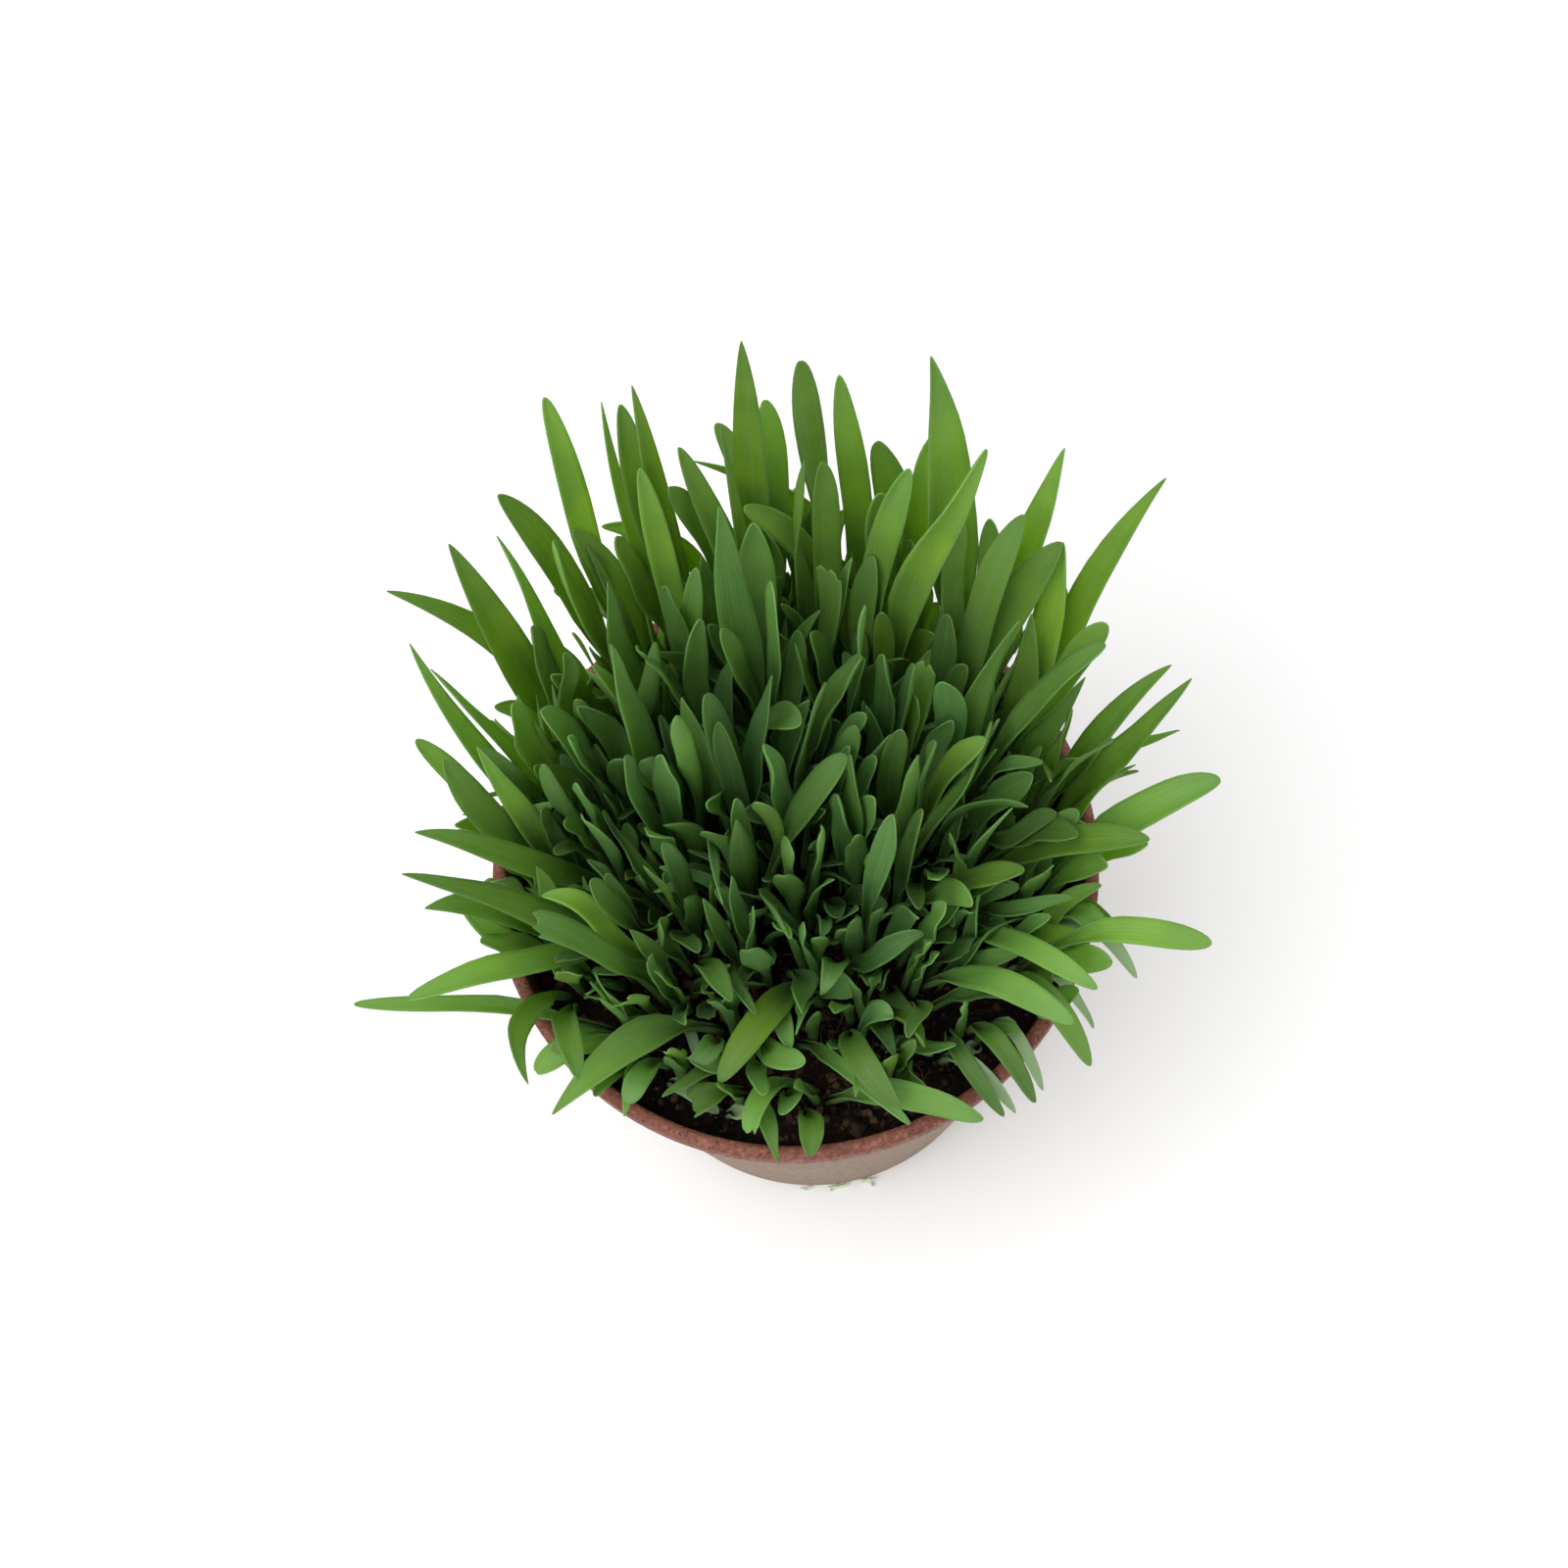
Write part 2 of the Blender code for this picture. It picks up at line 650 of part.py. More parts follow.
def make_tuft(number, tuft, parts, tools, material):
    """A crown sunk in the soil with its leaves joined to it."""
    name = f"grass_tuft_{number:02d}"
    shape = bmesh.new()
    add_peg(shape, tuft.place, CROWN_RADIUS, 0, -CROWN_DEPTH, CROWN_RISE)
    mesh = bpy.data.meshes.new(name)
    shape.to_mesh(mesh)
    shape.free()
    crown = new_object(name, mesh, parts, material)
    shape = bmesh.new()
    for leaf in tuft.leaves:
        points, faces = ring_mesh(leaf.rings())
        corners = [shape.verts.new(point) for point in points]
        for face in faces:
            shape.faces.new([corners[k] for k in face])
    bmesh.ops.triangulate(shape, faces=shape.faces)
    bmesh.ops.recalc_face_normals(shape, faces=shape.faces)
    mesh = bpy.data.meshes.new(f"{name}_leaves")
    shape.to_mesh(mesh)
    shape.free()
    blades = new_object(f"{name}_leaves", mesh, tools)
    hide_tool(blades)
    add_boolean(crown, blades, "UNION")
    return crown


def main():
    clear_scene()
    parts = new_collection("potted_cat_grass")
    tools = new_collection("cutters")
    tufts = grow_tufts()
    make_pot(parts, tools)
    make_soil(parts, tools, tufts)
    leaf_green = new_material("leaf_green", (0.07, 0.17, 0.05), 0.5)
    for number, tuft in enumerate(tufts, start=1):
        make_tuft(number, tuft, parts, tools, leaf_green)


main()
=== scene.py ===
"""Potted cat grass: a speckled nursery pot, fibrous potting soil and tufts of broad young leaves.

Metres, +Z up, the front towards -Y. The leaves follow the same growth rule as the solids
that they replace, so each visible tuft stands where its solid does.
"""

import math
import random

import bmesh
import bpy
from mathutils import Matrix, Vector, noise
from mathutils.bvhtree import BVHTree


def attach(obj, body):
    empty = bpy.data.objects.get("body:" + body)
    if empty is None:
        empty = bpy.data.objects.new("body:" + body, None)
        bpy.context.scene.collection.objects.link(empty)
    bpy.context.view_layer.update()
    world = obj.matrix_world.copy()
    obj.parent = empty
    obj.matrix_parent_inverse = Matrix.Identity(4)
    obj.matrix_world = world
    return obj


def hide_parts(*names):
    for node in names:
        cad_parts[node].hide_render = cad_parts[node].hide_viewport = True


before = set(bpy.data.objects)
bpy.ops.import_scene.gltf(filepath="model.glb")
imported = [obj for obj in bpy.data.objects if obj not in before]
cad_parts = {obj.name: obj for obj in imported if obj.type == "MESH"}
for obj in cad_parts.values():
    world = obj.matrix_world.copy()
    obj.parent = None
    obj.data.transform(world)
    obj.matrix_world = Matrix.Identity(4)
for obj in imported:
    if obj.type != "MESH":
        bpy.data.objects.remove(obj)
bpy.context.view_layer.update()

bl_info = {
    "name": "Potted cat grass",
    "version": (1, 0, 0),
    "blender": (4, 5, 0),
    "location": "3D View > Sidebar > Cat grass",
    "description": "Makes the pot, the soil, the tufts of grass and a plain stage",
    "category": "Object",
}

MM = 0.001

# pot
POT_HEIGHT = 104 * MM
RIM_RADIUS = 60 * MM
BASE_RADIUS = 43 * MM
WALL = 1.4 * MM
RIM_HEIGHT = 5 * MM
RIM_STEP = 1.2 * MM
RIM_LIP = 2.8 * MM
FLOOR = 1.5 * MM
FOOT_HEIGHT = 1.8 * MM
FOOT_WIDTH = 4 * MM
PAD_RADIUS = 15 * MM
DRAIN_HOLES = 6
DRAIN_DIAMETER = 9 * MM

# soil
SOIL_DROP = 10 * MM
SOIL_LUMP = 0.9 * MM
FIT_GAP = 0.3 * MM

# tufts: one in the middle and rings of them around it, each ring as (share of soil radius, count)
TUFT_RINGS = ((0.0, 1), (0.2, 6), (0.41, 12), (0.62, 17), (0.83, 20))
TUFT_JITTER = 1.2 * MM
CROWN_RADIUS = 3 * MM
CROWN_SIDES = 6

# leaves
LEAF_HEIGHT = 48 * MM
RISE_TO_BACK = 0.42
FALL_TO_FRONT = 0.75
LEAF_THICKNESS = 1.0 * MM
STEM_WIDTH = 1.6 * MM
STEM_CIRCLE = 1.6 * MM
LEAF_GAP = 0.35 * MM
SOIL_CLEARANCE = 0.7 * MM
TIP_WIDTH = 0.5 * MM
FILL_SEED = 41
FILL_TRIES = 90
LEAVES_PER_TUFT = 4
LEADER_CROWNS = 4
BARE_FRONT = 33 * MM
LEAVES_IN_FRONT = 2

# a spine's bend, as shares of its run outwards and of its rise, and where along it the roll begins
BEND_RUN = 0.3
BEND_RISE = 0.62
ROLL_START = 0.1
KEEL_SHARE = 2 / 3

# how far a leaf of the outline may stray from its row where it has no room
STRAY_BEARING = 14
STRAY_OUT = 8 * MM
STRAY_HEIGHT = 9 * MM
STRAY_LIFT = 12 * MM
STRAY_ROLL = 60
STRAY_BOW = 14 * MM

# ordinary leaves: ranges of height and width, the spread of their bearings about straight
# outwards in the middle of the pot and at its wall, and their lean, roll, bow and lift, each
# with what it gains or loses where there is little room
FILLER_OUTLINES = ("spoon", "spoon", "strap", "lance")
FILLER_HEIGHTS = (0.75, 1.15)
FILLER_WIDTH = 1.5 * MM
FILLER_WIDTH_SHARES = (0.06, 0.11)
SPREAD_MIDDLE = 130
SPREAD_LOST_AT_WALL = 80
SPREAD_GAIN = 60
LEAN = 0.05
LEAN_AT_WALL = 0.14
LEAN_RANGE = (0.3, 1.1)
LEAN_SCATTER = 4 * MM
HEIGHT_GAIN = 0.2
FILLER_ROLL = 30
FILLER_ROLL_GAIN = 60
FILLER_BOW = 2 * MM
FILLER_BOW_GAIN = 6 * MM
FILLER_LIFT = 2 * MM
FILLER_LIFT_GAIN = 8 * MM
FILLER_SLIMMING = 0.3

# outline: (where the stem starts to widen, where it is full, where the tip begins, the tip's
# power, the tip's root)
OUTLINES = {
    "lance": (0.22, 0.50, 0.50, 1.5, 1.0),
    "strap": (0.20, 0.45, 0.74, 2.2, 0.6),
    "spoon": (0.42, 0.74, 0.76, 2.2, 0.5),
}
STATIONS = (0.0, 0.24, 0.48, 0.72, 0.9, 1.0)

# the leaves that give the plant its outline:
# outline, root bearing and ring, tip bearing, tip's distance out from the rim and height over it,
# width, how far the spine is lifted between root and tip, and how far the tip is rolled
LEADERS = (
    # the tallest and broadest
    ("lance", 38, 4, 54, -2, 107, 12, 0, 0),
    ("lance", 88, 4, 86, -6, 106, 8, 0, 0),
    ("spoon", 80, 4, 80, -8, 106, 8, 0, 10),
    ("strap", 66, 4, 70, -5, 92, 9, 0, 0),
    ("lance", 145, 4, 145, 5, 76, 11, 0, 0),
    ("lance", 160, 2, 150, -26, 70, 11, 0, 0),
    # left side, low and spreading
    ("spoon", 215, 4, 195, 28, 16, 4, 8, 0),
    ("strap", 210, 3, 200, 18, 26, 7, 8, 10),
    ("lance", 200, 4, 195, 10, 35, 7, 8, 0),
    ("lance", 205, 3, 190, 10, 50, 9, 6, 20),
    ("lance", 190, 3, 185, 6, 52, 9, 6, -10),
    ("strap", 215, 3, 205, -4, 58, 10, 12, 15),
    ("strap", 180, 4, 175, 0, 55, 9, 4, 0),
    ("lance", 160, 4, 160, 5, 60, 5, 0, 30),
    # back left
    ("lance", 155, 4, 155, 6, 65, 6, 0, -20),
    ("lance", 148, 4, 150, 14, 66, 8, 2, 10),
    ("lance", 140, 4, 137, 0, 70, 7, 0, 50),
    ("strap", 130, 4, 130, 5, 76, 10, 3, 0),
    ("spoon", 120, 4, 120, 5, 85, 7, 0, 20),
    ("lance", 115, 4, 116, 0, 86, 4, 0, 0),
    ("strap", 110, 4, 112, -4, 86, 9, 0, -10),
    ("lance", 105, 4, 110, -4, 95, 7, 0, 40),
    ("strap", 112, 3, 113, -6, 75, 7, 0, 0),
    ("strap", 100, 3, 99, -14, 86, 7, 0, 10),
    ("lance", 95, 3, 95, -14, 94, 4, 0, 40),
    ("strap", 78, 3, 76, -10, 80, 7, 0, 0),
    ("lance", 74, 3, 75, -14, 82, 5, 0, 80),
    # back right
    ("spoon", 60, 3, 59, -10, 76, 7, 0, -20),
    ("strap", 55, 4, 54, -5, 80, 8, 0, 0),
    ("strap", 50, 3, 50, -5, 82, 10, 0, 10),
    ("strap", 40, 3, 34, -5, 75, 9, 0, 0),
    ("lance", 38, 4, 34, 10, 80, 9, 0, 10),
    ("lance", 20, 4, 25, 18, 80, 9, 0, 0),
    ("strap", 30, 3, 29, 0, 66, 10, 0, 0),
    ("strap", 20, 4, 26, 2, 64, 9, 0, 0),
    ("spoon", 12, 4, 12, 2, 65, 6, 0, 30),
    ("lance", 8, 4, 5, 9, 60, 7, 0, 0),
    ("lance", 2, 4, 0, 14, 60, 8, 0, 10),
    ("spoon", 10, 3, 9, -3, 66, 6, 0, 0),
    # right side
    ("strap", 348, 4, 351, 19, 40, 10, 22, 0),
    ("spoon", 330, 4, 335, 22, 20, 8, 24, 0),
    ("strap", 340, 3, 342, 7, 40, 9, 14, 0),
    ("strap", 322, 4, 315, 11, 4, 6, 34, 0),
    ("strap", 324, 3, 320, 6, 26, 8, 18, 0),
    ("strap", 312, 4, 305, 7, 4, 5, 26, 0),
    ("strap", 305, 4, 300, 6, -2, 4, 20, 0),
    ("strap", 305, 3, 315, 6, 25, 10, 14, 0),
    ("spoon", 345, 3, 345, -5, 36, 8, 6, 0),
    ("spoon", 338, 4, 340, 1, 34, 8, 8, 20),
    ("spoon", 325, 2, 331, -13, 36, 8, 6, 0),
    ("spoon", 320, 2, 324, -19, 34, 8, 4, 30),
    # front, sparse and lying outwards
    ("strap", 264, 4, 296, 5, 10, 8, 12, 40),
    ("strap", 282, 3, 288, 0, 12, 9, 16, 0),
    ("strap", 268, 3, 284, 0, 8, 4, 14, 0),
    ("strap", 266, 4, 268, 0, 6, 8, 12, 0),
    ("lance", 256, 4, 260, 1, 2, 5, 14, 0),
    ("lance", 238, 3, 225, 10, 15, 9, 12, 0),
    ("spoon", 220, 4, 215, 6, 6, 8, 16, 0),
    ("spoon", 250, 3, 232, -6, 2, 9, 10, 0),
    ("strap", 255, 2, 248, -10, 12, 8, 16, 0),
    # middle
    ("lance", 90, 2, 100, -25, 86, 10, 0, 0),
    ("spoon", 85, 2, 84, -34, 66, 8, 0, 0),
    ("lance", 140, 1, 85, -48, 60, 9, 0, 0),
    ("strap", 90, 1, 35, -38, 60, 8, 12, 0),
    ("spoon", 110, 2, 60, -48, 48, 7, 8, 0),
    ("spoon", 240, 1, 10, -48, 45, 7, 6, 0),
    ("spoon", 165, 3, 160, -18, 56, 10, 0, 0),
    ("lance", 15, 2, 28, -25, 60, 8, 0, 40),
    ("strap", 350, 2, 2, -24, 46, 8, 10, 0),
    ("lance", 15, 3, 20, -17, 66, 6, 0, 50),
    ("spoon", 310, 2, 325, -37, 50, 6, 0, 20),
)
UP = Vector((0, 0, 1))


def polar(bearing, radius, z=0.0):
    """The point at a bearing in degrees and a distance from the pot's axis."""
    turn = math.radians(bearing)
    return Vector((radius * math.cos(turn), radius * math.sin(turn), z))


def smooth_step(low, high, value):
    """0 below low, 1 above high and an even rise between."""
    share = min(max((value - low) / (high - low), 0.0), 1.0)
    return share * share * (3 - 2 * share)


# sizes that follow from the driving dimensions

FLOOR_TOP = FOOT_HEIGHT + FLOOR
SOIL_TOP = POT_HEIGHT - SOIL_DROP
WALL_TOP_RADIUS = RIM_RADIUS - RIM_STEP


def outer_radius(z):
    """The straight taper of the wall's outer face."""
    return BASE_RADIUS + (WALL_TOP_RADIUS - BASE_RADIUS) * z / POT_HEIGHT


def inner_radius(z):
    """The wall's inner face."""
    return outer_radius(z) - WALL


def soil_radius(z):
    """The soil's side, a fit gap inside the wall."""
    return inner_radius(z) - FIT_GAP


def soil_height(x, y):
    """The soil's gently uneven top."""
    across = math.sin(x / (9 * MM) + 0.6) * math.cos(y / (11 * MM))
    along = math.sin(y / (16 * MM) - x / (23 * MM))
    return SOIL_TOP + SOIL_LUMP * 0.5 * (across + along)


def tuft_places():
    """The crowns' places on the soil, in rings, each a little off its even place."""
    scatter = random.Random(FILL_SEED)
    places = []
    for ring, (share, count) in enumerate(TUFT_RINGS):
        radius = share * soil_radius(SOIL_TOP)
        for k in range(count):
            bearing = 360 * (k + 0.5 * (ring % 2)) / count
            place = polar(bearing, radius)
            place.x += scatter.uniform(-TUFT_JITTER, TUFT_JITTER)
            place.y += scatter.uniform(-TUFT_JITTER, TUFT_JITTER)
            place.z = soil_height(place.x, place.y)
            places.append(place)
    return places


class Leaf:
    """One leaf with its stem: a bent spine from the crown to the tip, and a width along it."""

    def __init__(self, root, tip, width, lift, roll, outline, bow=0.0):
        self.root = root
        self.tip = tip
        self.width = width
        self.roll = math.radians(roll)
        self.outline = outline
        run = Vector((tip.x - root.x, tip.y - root.y, 0))
        self.lean = run.normalized() if run.length > 1 * MM else Vector((0, 1, 0))
        side = UP.cross(self.lean)
        rise = (tip.z - root.z) * BEND_RISE + lift
        self.bend = root + run * BEND_RUN + UP * rise + side * bow

    def spine(self, t):
        """The spine's point at t, from 0 at the root to 1 at the tip."""
        return (1 - t) ** 2 * self.root + 2 * t * (1 - t) * self.bend + t * t * self.tip

    def frame(self, t):
        """The directions across the leaf and out of its upper face at t."""
        slope = 2 * (1 - t) * (self.bend - self.root) + 2 * t * (self.tip - self.bend)
        along = slope.normalized()
        side = UP.cross(self.lean)
        side = (side - along * side.dot(along)).normalized()
        face = along.cross(side)
        turn = self.roll * smooth_step(ROLL_START, 1.0, t)
        across = side * math.cos(turn) + face * math.sin(turn)
        return across, along.cross(across)

    def width_at(self, t):
        """The full width at t: a narrow stem, the blade, and its tip."""
        start, full, taper, power, root = OUTLINES[self.outline]
        blade = STEM_WIDTH + (self.width - STEM_WIDTH) * smooth_step(start, full, t)
        past = max(0.0, (t - taper) / (1 - taper))
        return blade * (1 - past**power) ** root

    def thickness_at(self, t):
        """Round at the stem and flat in the blade."""
        start, full = OUTLINES[self.outline][:2]
        return STEM_WIDTH + (LEAF_THICKNESS - STEM_WIDTH) * smooth_step(start * 0.5, full, t)

    def rings(self, grow=0.0):
        """Three corners at each station, both edges and the keel, grown by a clearance."""
        corners = []
        for t in STATIONS:
            point = self.spine(t)
            across, face = self.frame(t)
            half = max(self.width_at(t) / 2, TIP_WIDTH / 2) + grow
            edge = point + face * (self.thickness_at(t) * (1 - KEEL_SHARE) + grow)
            keel = point - face * (self.thickness_at(t) * KEEL_SHARE + grow)
            corners.append((edge + across * half, edge - across * half, keel))
        return corners


def ring_mesh(rings):
    """Corners and faces of the closed body through a row of three-cornered rings."""
    points = [corner for ring in rings for corner in ring]
    faces = [(2, 1, 0)]
    for low in range(0, len(points) - 3, 3):
        for side in range(3):
            after = (side + 1) % 3
            faces.append((low + side, low + after, low + 3 + after, low + 3 + side))
    last = len(points) - 3
    faces.append((last, last + 1, last + 2))
    return points, faces


def clear_of_pot(rings, crown):
    """Whether a leaf's edges pass over the rim and, past its own crown, stay above the soil."""
    steps = 6
    for low, high in zip(rings, rings[1:]):
        for start, end in zip(low, high):
            for k in range(1, steps + 1):
                point = start.lerp(end, k / steps)
                radius = math.hypot(point.x, point.y)
                if radius > RIM_RADIUS + LEAF_GAP:
                    lowest = LEAF_GAP
                elif radius > RIM_RADIUS - RIM_LIP - LEAF_GAP:
                    lowest = POT_HEIGHT + LEAF_GAP
                elif (point.xy - crown.xy).length > CROWN_RADIUS * math.cos(math.pi / CROWN_SIDES):
                    lowest = soil_height(point.x, point.y) + SOIL_CLEARANCE
                else:
                    lowest = 0
                if point.z < lowest:
                    return False
    return True


class Meadow:
    """The leaves that stand so far. A new one must pass between them."""

    def __init__(self):
        self.shapes = []

    def has_room(self, leaf, crown):
        """Whether a leaf clears the pot, the soil and every leaf that stands."""
        grown = leaf.rings(LEAF_GAP)
        if not clear_of_pot(grown, crown):
            return False
        shape = BVHTree.FromPolygons(*ring_mesh(grown))
        return not any(shape.overlap(other) for other in self.shapes)

    def add(self, leaf):
        """Lets a leaf stand."""
        self.shapes.append(BVHTree.FromPolygons(*ring_mesh(leaf.rings())))


class Tuft:
    """A crown with a few spots around its middle, each for one stem."""

    def __init__(self, place):
        self.place = place
        self.leaves = []
        outward = math.degrees(math.atan2(place.y, place.x))
        self.spots = [
            polar(outward + 360 * (k + 0.5) / LEAVES_PER_TUFT, STEM_CIRCLE)
            for k in range(LEAVES_PER_TUFT)
        ]
        self.wanted = LEAVES_IN_FRONT if place.y < -BARE_FRONT else LEAVES_PER_TUFT

    def spot_towards(self, tip):
        """The free spot that faces a leaf's tip best."""
        return max(self.spots, key=lambda spot: spot.dot(tip - self.place))

    def settle(self, meadow, make_tip_and_leaf, chance):
        """Tries a leaf as wished, then ever freer, and keeps the first one that has room."""
        for k in range(FILL_TRIES):
            tip, make_leaf = make_tip_and_leaf(chance, k / FILL_TRIES)
            spot = self.spot_towards(tip)
            leaf = make_leaf(self.place + spot)
            if meadow.has_room(leaf, self.place):
                meadow.add(leaf)
                self.leaves.append(leaf)
                self.spots.remove(spot)
                return True
        return False


def leader_maker(row):
    """A function that makes the leaf of a LEADERS row, looser as its second value rises."""
    outline, _, _, bearing, out, height, width, lift, roll = row

    def make(chance, loose):
        drift = loose * loose
        tip = polar(
            bearing + STRAY_BEARING * drift * chance.uniform(-1, 1),
            RIM_RADIUS + out * MM + STRAY_OUT * drift * chance.uniform(-1, 1),
            POT_HEIGHT + height * MM + STRAY_HEIGHT * drift * chance.uniform(-1, 1),
        )
        rise = lift * MM + STRAY_LIFT * loose * chance.uniform(-0.3, 1)
        turn = roll + STRAY_ROLL * loose * chance.uniform(-1, 1)
        bow = STRAY_BOW * loose * chance.uniform(-1, 1)
        return tip, lambda root: Leaf(root, tip, width * MM, rise, turn, outline, bow)

    return make


def filler_maker(place, chance):
    """A function that makes an ordinary leaf for a crown, shorter towards the front."""
    outward = math.degrees(math.atan2(place.y, place.x))
    share = math.hypot(place.x, place.y) / soil_radius(SOIL_TOP)
    outline = chance.choice(FILLER_OUTLINES)
    slope = RISE_TO_BACK if place.y > 0 else FALL_TO_FRONT
    height = (LEAF_HEIGHT + slope * place.y) * chance.uniform(*FILLER_HEIGHTS)
    width = FILLER_WIDTH + (height + SOIL_DROP) * chance.uniform(*FILLER_WIDTH_SHARES)
    spread = SPREAD_MIDDLE - SPREAD_LOST_AT_WALL * share

    def make(chance, loose):
        bearing = outward + (spread + SPREAD_GAIN * loose) * chance.uniform(-1, 1)
        lean = LEAN + LEAN_AT_WALL * share * chance.uniform(*LEAN_RANGE)
        tip = place + polar(bearing, height * lean + LEAN_SCATTER * chance.random())
        tip.z = POT_HEIGHT + height * (1 + HEIGHT_GAIN * loose * chance.uniform(-1, 1))
        roll = (FILLER_ROLL + FILLER_ROLL_GAIN * loose) * chance.uniform(-1, 1)
        bow = (FILLER_BOW + FILLER_BOW_GAIN * loose) * chance.uniform(-1, 1)
        lift = (FILLER_LIFT + FILLER_LIFT_GAIN * loose) * chance.random()
        slim = width * (1 - FILLER_SLIMMING * loose)
        return tip, lambda root: Leaf(root, tip, slim, lift, roll, outline, bow)

    return make


def add_filler(meadow, tufts, number, turn):
    """One more ordinary leaf on a tuft, if there is room for it."""
    tuft = tufts[number]
    chance = random.Random(FILL_SEED * 1000 + number * 10 + turn)
    tuft.settle(meadow, filler_maker(tuft.place, chance), chance)


def grow_tufts():
    """All tufts with their leaves: a first leaf in the bare front, the leaders, the fillers."""
    meadow = Meadow()
    tufts = [Tuft(place) for place in tuft_places()]
    for number, tuft in enumerate(tufts):
        if tuft.wanted == LEAVES_IN_FRONT:
            add_filler(meadow, tufts, number, 0)
    for number, row in enumerate(LEADERS):
        start = polar(row[1], TUFT_RINGS[row[2]][0] * soil_radius(SOIL_TOP))
        near = sorted(tufts, key=lambda tuft: (tuft.place.xy - start.xy).length)
        chance = random.Random(FILL_SEED + number)
        for tuft in near[:LEADER_CROWNS]:
            if tuft.spots and tuft.settle(meadow, leader_maker(row), chance):
                break
    for turn in range(LEAVES_PER_TUFT):
        for number, tuft in enumerate(tufts):
            if len(tuft.leaves) <= turn < tuft.wanted:
                add_filler(meadow, tufts, number, turn)
    return tufts


# meshes

WELD = 0.01 * MM
LEAF_WELD = 0.005 * MM
POT_SMOOTH = math.radians(35)
CRUMB_SMOOTH = math.radians(30)
THREAD_SMOOTH = math.radians(60)


def add_object(name, data):
    """An object in the scene for a mesh, a light or a camera."""
    thing = bpy.data.objects.new(name, data)
    bpy.context.scene.collection.objects.link(thing)
    return thing


def mesh_object(name, shape):
    """An object in the scene with a bmesh's shape."""
    mesh = bpy.data.meshes.new(name)
    shape.to_mesh(mesh)
    shape.free()
    return add_object(name, mesh)


def finish_piece(name, shape, material, smooth_angle=None):
    """Turns a bmesh into a piece that rides on the object, smooth up to an angle."""
    piece = mesh_object(name, shape)
    piece.data.materials.append(material)
    piece.data.shade_smooth()
    if smooth_angle is not None:
        piece.data.set_sharp_from_angle(angle=smooth_angle)
    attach(piece, "root")
    return piece


def turned(profile, segments):
    """A bmesh of a profile of (radius, height) points spun round the pot's axis."""
    shape = bmesh.new()
    points = [shape.verts.new((radius, 0, z)) for radius, z in profile]
    edges = [shape.edges.new(pair) for pair in zip(points, points[1:])]
    bmesh.ops.spin(
        shape,
        geom=points + edges,
        axis=UP,
        cent=(0, 0, 0),
        steps=segments,
        angle=math.tau,
        use_merge=True,
    )
    bmesh.ops.remove_doubles(shape, verts=shape.verts, dist=WELD)
    bmesh.ops.recalc_face_normals(shape, faces=shape.faces)
    return shape


# nodes


def new_material(name):
    """A material, its node tree and its shader."""
    material = bpy.data.materials.new(name)
    material.use_nodes = True
    tree = material.node_tree
    return material, tree, tree.nodes["Principled BSDF"]


def put(node, key, value):
    """Gives a node's input a link from another node's socket, or a value or colour."""
    socket = node.inputs[key]
    if isinstance(value, bpy.types.NodeSocket):
        node.id_data.links.new(value, socket)
    else:
        socket.default_value = (*value, 1.0) if socket.type == "RGBA" else value


def add_node(tree, kind, inputs=None, **settings):
    """A node with its settings and its inputs."""
    node = tree.nodes.new(kind)
    for key, value in settings.items():
        setattr(node, key, value)
    for key, value in (inputs or {}).items():
        put(node, key, value)
    return node


def math_node(tree, operation, first, second=0.0, third=0.0):
    """The result of a sum on up to three values."""
    node = add_node(tree, "ShaderNodeMath", {0: first, 1: second, 2: third}, operation=operation)
    return node.outputs[0]


def times(tree, first, second):
    """The product of two values."""
    return math_node(tree, "MULTIPLY", first, second)


def map_range(tree, value, low, high, to_low=0.0, to_high=1.0):
    """value taken smoothly from one range to another, and held at its ends."""
    limits = {"From Min": low, "From Max": high, "To Min": to_low, "To Max": to_high}
    inputs = {"Value": value, **limits}
    return add_node(
        tree, "ShaderNodeMapRange", inputs, interpolation_type="SMOOTHSTEP"
    ).outputs[0]


def mix_colour(tree, share, first, second, blend="MIX"):
    """The first colour with a share of the second blended into it."""
    inputs = {0: share, 6: first, 7: second}
    return add_node(
        tree, "ShaderNodeMix", inputs, data_type="RGBA", blend_type=blend
    ).outputs[2]


def layered(tree, base, *layers):
    """A base colour with others laid over it in turn.

    Each layer is (share, colour), and a share given as (value, low, high, ...) is mapped first.
    """
    for share, over in layers:
        if isinstance(share, tuple):
            share = map_range(tree, *share)
        base = mix_colour(tree, share, base, over)
    return base


def combine(tree, x, y, z):
    """A vector of three values."""
    return add_node(tree, "ShaderNodeCombineXYZ", {0: x, 1: y, 2: z}).outputs[0]


def object_place(tree):
    """Where a point is in the object's own coordinates."""
    return add_node(tree, "ShaderNodeTexCoord").outputs["Object"]


def noise_texture(tree, place, scale, detail, roughness=0.5):
    """Soft noise over a place."""
    inputs = {"Vector": place, "Scale": scale, "Detail": detail, "Roughness": roughness}
    return add_node(tree, "ShaderNodeTexNoise", inputs).outputs["Fac"]


def make_grain_group():
    """The grain that the plastic, the soil and its loose bits share."""
    group = bpy.data.node_groups.new("grain", "ShaderNodeTree")
    group.interface.new_socket("Place", in_out="INPUT", socket_type="NodeSocketVector")
    numbers = ("Scale", "Detail", "Roughness")
    for name in numbers:
        group.interface.new_socket(name, in_out="INPUT", socket_type="NodeSocketFloat")
    group.interface.new_socket("Grain", in_out="OUTPUT", socket_type="NodeSocketFloat")
    given = group.nodes.new("NodeGroupInput").outputs
    texture = noise_texture(group, given["Place"], *(given[name] for name in numbers))
    put(group.nodes.new("NodeGroupOutput"), "Grain", texture)
    return group


